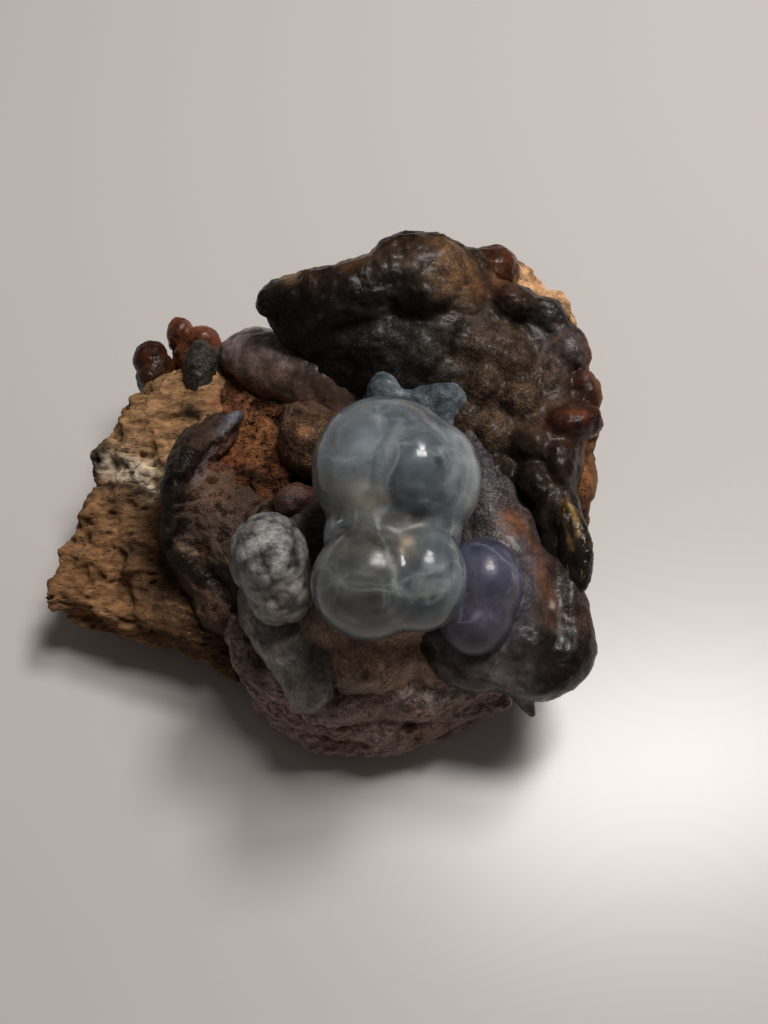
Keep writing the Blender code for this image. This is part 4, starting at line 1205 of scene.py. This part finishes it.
class MakeWall(bpy.types.Operator):
    """Make the dark wall of the crust with its rim of lumps"""

    bl_idname = "specimen.make_wall"
    bl_label = "Dark Wall"

    def execute(self, context):
        finish = opal_finish("wall_opal", coat=0.1, fibre=0.6)
        crust_piece(
            "dark_wall", WALL_BUMPS + BEADS[1:], [RIM, CURTAIN, INNER_FACE, OUTER_FACE], finish,
            tuple(colours().wall), WALL_PATCHES, 0.12, relief=0.25, rounding=10, bump=(1.3, 0.06),
            wrinkle=(3.8, 2.1),
        )
        return {"FINISHED"}


class MakeBeads(bpy.types.Operator):
    """Make the amber bead at the wall's corner and the striped fin"""

    bl_idname = "specimen.make_beads"
    bl_label = "Amber Bead and Fin"

    def execute(self, context):
        finish = opal_finish("amber_bead_opal", coat=0.3, clear=0.3)
        crust_piece(
            "amber_bead", BEADS[:1], [], finish, display(84, 42, 18), [], 0.05, relief=0.1,
            wrinkle=(3.0, 1.2), cell=0.25 * MM,
        )
        thread = display(150, 118, 70)
        finish = opal_finish("fin_opal", coat=0.3, fibre=0.8, run=(1.0, 0.1, 0.6), thread=thread)
        crust_piece(
            "striped_fin", [], [STRIPED_FIN], finish, display(26, 21, 16), FIN_PATCHES, 0.05, relief=0.2,
            cell=0.25 * MM,
        )
        return {"FINISHED"}


class MakeHollow(bpy.types.Operator):
    """Make the frosted floor of the hollow, its sheet and its small domes"""

    bl_idname = "specimen.make_hollow"
    bl_label = "Hollow"

    def execute(self, context):
        finish = opal_finish("frosted_opal", coat=0.1, crinkle=0.5)
        crust_piece(
            "hollow_floor", HOLLOW_LOBES, [], finish, tuple(colours().hollow), HOLLOW_PATCHES, 0.75,
            bump=(1.1, 0.1),
        )
        finish = opal_finish("brown_dome_opal", coat=0.2, fibre=0.6)
        crust_piece("brown_domes", BROWN_DOMES, [], finish, display(92, 66, 46), DOME_PATCHES, 0.8)
        finish = opal_finish("blue_dome_opal", coat=0.3)
        crust_piece("blue_domes", BLUE_DOMES, [], finish, display(96, 106, 112), BLUE_PATCHES, 0.4)
        return {"FINISHED"}


class MakeLip(bpy.types.Operator):
    """Make the tongue of opal that overhangs the front right"""

    bl_idname = "specimen.make_lip"
    bl_label = "Lip"

    def execute(self, context):
        finish = opal_finish("lip_opal", coat=0.15, clear=0.15, gloss=0.4)
        crust_piece(
            "front_lip", SHEET_LOBES + LIP_LOBES, [SHEET, LIP_EDGE, TAIL], finish, display(66, 50, 41),
            LIP_PATCHES, 0.1, relief=0.1, rounding=20, bump=(1.5, 0.0), wrinkle=(5.0, 1.3),
        )
        return {"FINISHED"}


class MakeRidge(bpy.types.Operator):
    """Make the dark ridge, the pink-grey roll and the low bulb"""

    bl_idname = "specimen.make_ridge"
    bl_label = "Ridge and Rolls"

    def execute(self, context):
        finish = opal_finish("ridge_opal", coat=0.05, crinkle=0.6, gloss=0.2)
        crust_piece(
            "dark_ridge", BROWN_FLOOR, [RIDGE, RIDGE_SIDE, BROWN_SLOPE], finish, display(50, 34, 25),
            RIDGE_PATCHES, 0.5, relief=0.5, rounding=8, bump=(1.2, 0.3),
        )
        finish = opal_finish("roll_opal", coat=0.5, fibre=0.2, gloss=0.5)
        crust_piece(
            "pink_roll", [], [PINK_ROLL], finish, display(124, 103, 96), ROLL_PATCHES, 0.2, rounding=10,
            wrinkle=(4.5, 1.4),
        )
        finish = opal_finish("bulb_opal", coat=0.3, crinkle=0.5, clear=0.15)
        crust_piece("low_bulb", [], [LOW_BULB], finish, display(138, 130, 122), BULB_PATCHES, 0.3)
        return {"FINISHED"}


class MakeSkirt(bpy.types.Operator):
    """Make the folded skirt under the front"""

    bl_idname = "specimen.make_skirt"
    bl_label = "Skirt"

    def execute(self, context):
        finish = opal_finish("skirt_opal", crinkle=1.4)
        crust_piece(
            "folded_skirt", [], SKIRT_FOLDS, finish, tuple(colours().skirt), SKIRT_PATCHES, 0.45, rounding=8,
            bump=(1.2, 0.25), wrinkle=(2.6, 2.6),
        )
        return {"FINISHED"}


def lobe_reach(places, lobes):
    """Rough distance of each place to each lobe's skin, negative inside, in millimetres."""
    rows = np.array(lobes)
    gap = (places[:, None, :] - rows[None, :, :3]) / rows[None, :, 3:]
    reach = np.linalg.norm(gap, axis=2)
    slope = np.linalg.norm(gap / rows[None, :, 3:], axis=2)
    return reach * (reach - 1.0) / np.maximum(slope, 1e-9)


def soft_union(places, lobes, softness):
    """Distance of each place to the lobes' common skin, whose joins are rounded by about this softness."""
    reach = lobe_reach(places, lobes)
    least = reach.min(axis=1)
    return least - softness * np.log(np.exp(-(reach - least[:, None]) / softness).sum(axis=1))


def bubble(name, lobes, softness):
    """Lobes joined in one perfectly smooth skin: each point of a rough skin slides onto the soft union."""
    obj = fuse(lobed(name, lobes, subdivisions=4), sizes().bubble_cell, 2)
    step = 0.02
    least_slope = 0.3
    for _ in range(3):
        places = points_of(obj)
        here = soft_union(places, lobes, softness)
        slope = np.column_stack(
            [(soft_union(places + step * axis, lobes, softness) - here) / step for axis in np.eye(3)]
        )
        length = np.maximum(np.linalg.norm(slope, axis=1), least_slope)
        move_points(obj, places - slope * (here / length**2)[:, None])
    return obj


class MakeBubbles(bpy.types.Operator):
    """Make the see-through cluster of bubbles, with the clouded cores inside it"""

    bl_idname = "specimen.make_bubbles"
    bl_label = "Clear Bubbles"

    def execute(self, context):
        ground = colours()
        finish = glass_finish(
            "clear_opal", tuple(ground.milk), 0.95, absorb=(0.66, 0.77, 0.84), density=22.0, rough=0.1,
            cloud=0.13,
        )
        skin = bubble("clear_bubbles", BUBBLES, 0.5)
        skin.data.materials.append(finish)
        paint(skin, tuple(ground.smoke), BUBBLE_PATCHES, 0.03, node_solid("opal_bubbles"))
        finished(skin, "clear_opal", "opal_bubbles")
        finish = glass_finish("clouded_core", tuple(ground.milk), 0.3, rough=0.3)
        cores = [bubble(name, lobes, 0.4) for name, lobes, tint in CORES]
        surfaces = [solid(core) for core in cores]
        for core, (name, lobes, tint) in zip(cores, CORES):
            core.data.materials.append(finish)
            paint(core, display(*tint), CORE_PATCHES, solids=surfaces)
            finished(core, "clear_opal", "opal_bubbles")
        return {"FINISHED"}


class MakeKnobs(bpy.types.Operator):
    """Make the mottled grey knob and the violet-blue dome"""

    bl_idname = "specimen.make_knobs"
    bl_label = "Grey Knob and Violet Dome"

    def execute(self, context):
        finish = opal_finish("mottled_opal", cloudy=display(180, 180, 176), clear=0.2, crease_shade=0.8)
        knob = bubble("grey_knob_skin", KNOB, 0.5)
        run_tree(
            knob, botryoidal_tree(), Bump=1.9 * MM, Height=0.5 * MM, Grain=GRAIN, GrainHeight=0.0,
            Wrinkle=1.8 * MM, WrinkleHeight=0.5 * MM, Finish=finish,
        )
        paint(knob, display(122, 121, 120), KNOB_PATCHES, 0.3, node_solid("grey_knob"))
        finished(knob, "grey_opal", "grey_knob")
        finish = glass_finish("violet_opal", display(140, 140, 164), 0.84, rough=0.16, cloud=0.16)
        dome = bubble("violet_dome_skin", DOME, 0.5)
        dome.data.materials.append(finish)
        paint(dome, tuple(colours().violet), VIOLET_PATCHES, 0.2, node_solid("violet_dome"))
        finished(dome, "violet_opal", "violet_dome")
        return {"FINISHED"}


class MakeSlabKnobs(bpy.types.Operator):
    """Make the amber and brown knobs and the slate blade at the slab's top edge"""

    bl_idname = "specimen.make_slab_knobs"
    bl_label = "Slab Knobs"

    def execute(self, context):
        for name, lobes, slot, node, ground, frost in (
            ("amber_knobs_skin", AMBER, "amber_opal", "amber_knobs", tuple(colours().amber), 0.25),
            ("slate_blade", BLADE, "amber_opal", "amber_knobs", display(56, 50, 42), 0.8),
            ("brown_knob_skin", BROWN, "brown_opal", "brown_knob", display(58, 28, 13), 0.35),
        ):
            finish = opal_finish(name + "_opal", coat=0.15, clear=0.1)
            piece = fuse(lobed(name, lobes, subdivisions=4), sizes().bubble_cell, 4)
            run_tree(
                piece, botryoidal_tree(), Bump=1.4 * MM, Height=0.25 * MM, Grain=GRAIN,
                GrainHeight=0.04 * MM, Wrinkle=2.4 * MM, WrinkleHeight=1.2 * MM, Finish=finish,
            )
            paint(piece, ground, [], frost)
            finished(piece, slot, node)
        return {"FINISHED"}


class MakeStage(bpy.types.Operator):
    """Make the pale floor, the soft lights and the camera"""

    bl_idname = "specimen.make_stage"
    bl_label = "Stage"

    def execute(self, context):
        scene = context.scene
        settings = scene.specimen_stage
        made = Finish("pale_floor")
        made.set(Base_Color=tuple(settings.floor), Roughness=0.27, Specular_IOR_Level=0.62)
        corners = np.array([(-1, -1, 0), (1, -1, 0), (1, 1, 0), (-1, 1, 0)]) * FLOOR_REACH
        floor = mesh_object("floor", corners, np.array([[0, 1, 2, 3]]))
        floor.data.materials.append(made.material)

        world = bpy.data.worlds.new("room")
        world.use_nodes = True
        sky = world.node_tree.nodes["Background"]
        sky.inputs["Color"].default_value = SKY_COLOUR
        sky.inputs["Strength"].default_value = settings.sky
        scene.world = world

        powers = (settings.key_power, settings.window_power, settings.fill_power)
        for (name, place, size, colour), power in zip(LAMPS, powers):
            lamp = bpy.data.lights.new(name, "AREA")
            lamp.energy = power
            lamp.shape = "RECTANGLE"
            lamp.size, lamp.size_y = size
            lamp.color = colour
            obj = bpy.data.objects.new(name, lamp)
            obj.location = place
            obj.rotation_euler = (math.atan2(-place[1], place[2]), math.atan2(place[0], place[2]), 0.0)
            obj.visible_glossy = name == "key"
            scene.collection.objects.link(obj)

        lens = bpy.data.cameras.new("camera")
        lens.lens = LENS
        lens.sensor_width = SENSOR
        lens.clip_start = 0.005
        camera = bpy.data.objects.new("camera", lens)
        camera.location = CAMERA
        camera.rotation_euler = AIM.to_euler()
        scene.collection.objects.link(camera)
        scene.camera = camera
        scene.view_settings.view_transform = "Standard"
        return {"FINISHED"}


class SpecimenPanel(bpy.types.Panel):
    """Lists what makes the specimen"""

    bl_idname = "VIEW3D_PT_specimen"
    bl_label = "Fire Opal in Matrix"
    bl_space_type = "VIEW_3D"
    bl_region_type = "UI"
    bl_category = "Specimen"

    def draw(self, context):
        for operator in OPERATORS:
            self.layout.operator(operator.bl_idname)
        for settings in (sizes(), colours(), context.scene.specimen_stage):
            for name in settings.bl_rna.properties.keys():
                if name not in {"rna_type", "name"}:
                    self.layout.prop(settings, name)


SETTINGS = (SpecimenSizes, SpecimenColours, StageSettings)
OPERATORS = (
    MakeRock, MakePocket, MakeWall, MakeBeads, MakeHollow, MakeLip, MakeRidge, MakeSkirt, MakeBubbles,
    MakeKnobs, MakeSlabKnobs, MakeStage,
)


def register():
    for made in (*SETTINGS, *OPERATORS, SpecimenPanel):
        bpy.utils.register_class(made)
    bpy.types.Scene.specimen_sizes = PointerProperty(type=SpecimenSizes)
    bpy.types.Scene.specimen_colours = PointerProperty(type=SpecimenColours)
    bpy.types.Scene.specimen_stage = PointerProperty(type=StageSettings)


def unregister():
    del bpy.types.Scene.specimen_stage
    del bpy.types.Scene.specimen_colours
    del bpy.types.Scene.specimen_sizes
    for made in reversed((*SETTINGS, *OPERATORS, SpecimenPanel)):
        bpy.utils.unregister_class(made)


def main():
    register()
    bpy.ops.specimen.make_rock()
    bpy.ops.specimen.make_pocket()
    bpy.ops.specimen.make_wall()
    bpy.ops.specimen.make_beads()
    bpy.ops.specimen.make_hollow()
    bpy.ops.specimen.make_lip()
    bpy.ops.specimen.make_ridge()
    bpy.ops.specimen.make_skirt()
    bpy.ops.specimen.make_bubbles()
    bpy.ops.specimen.make_knobs()
    bpy.ops.specimen.make_slab_knobs()
    bpy.ops.specimen.make_stage()


if __name__ == "__main__":
    main()
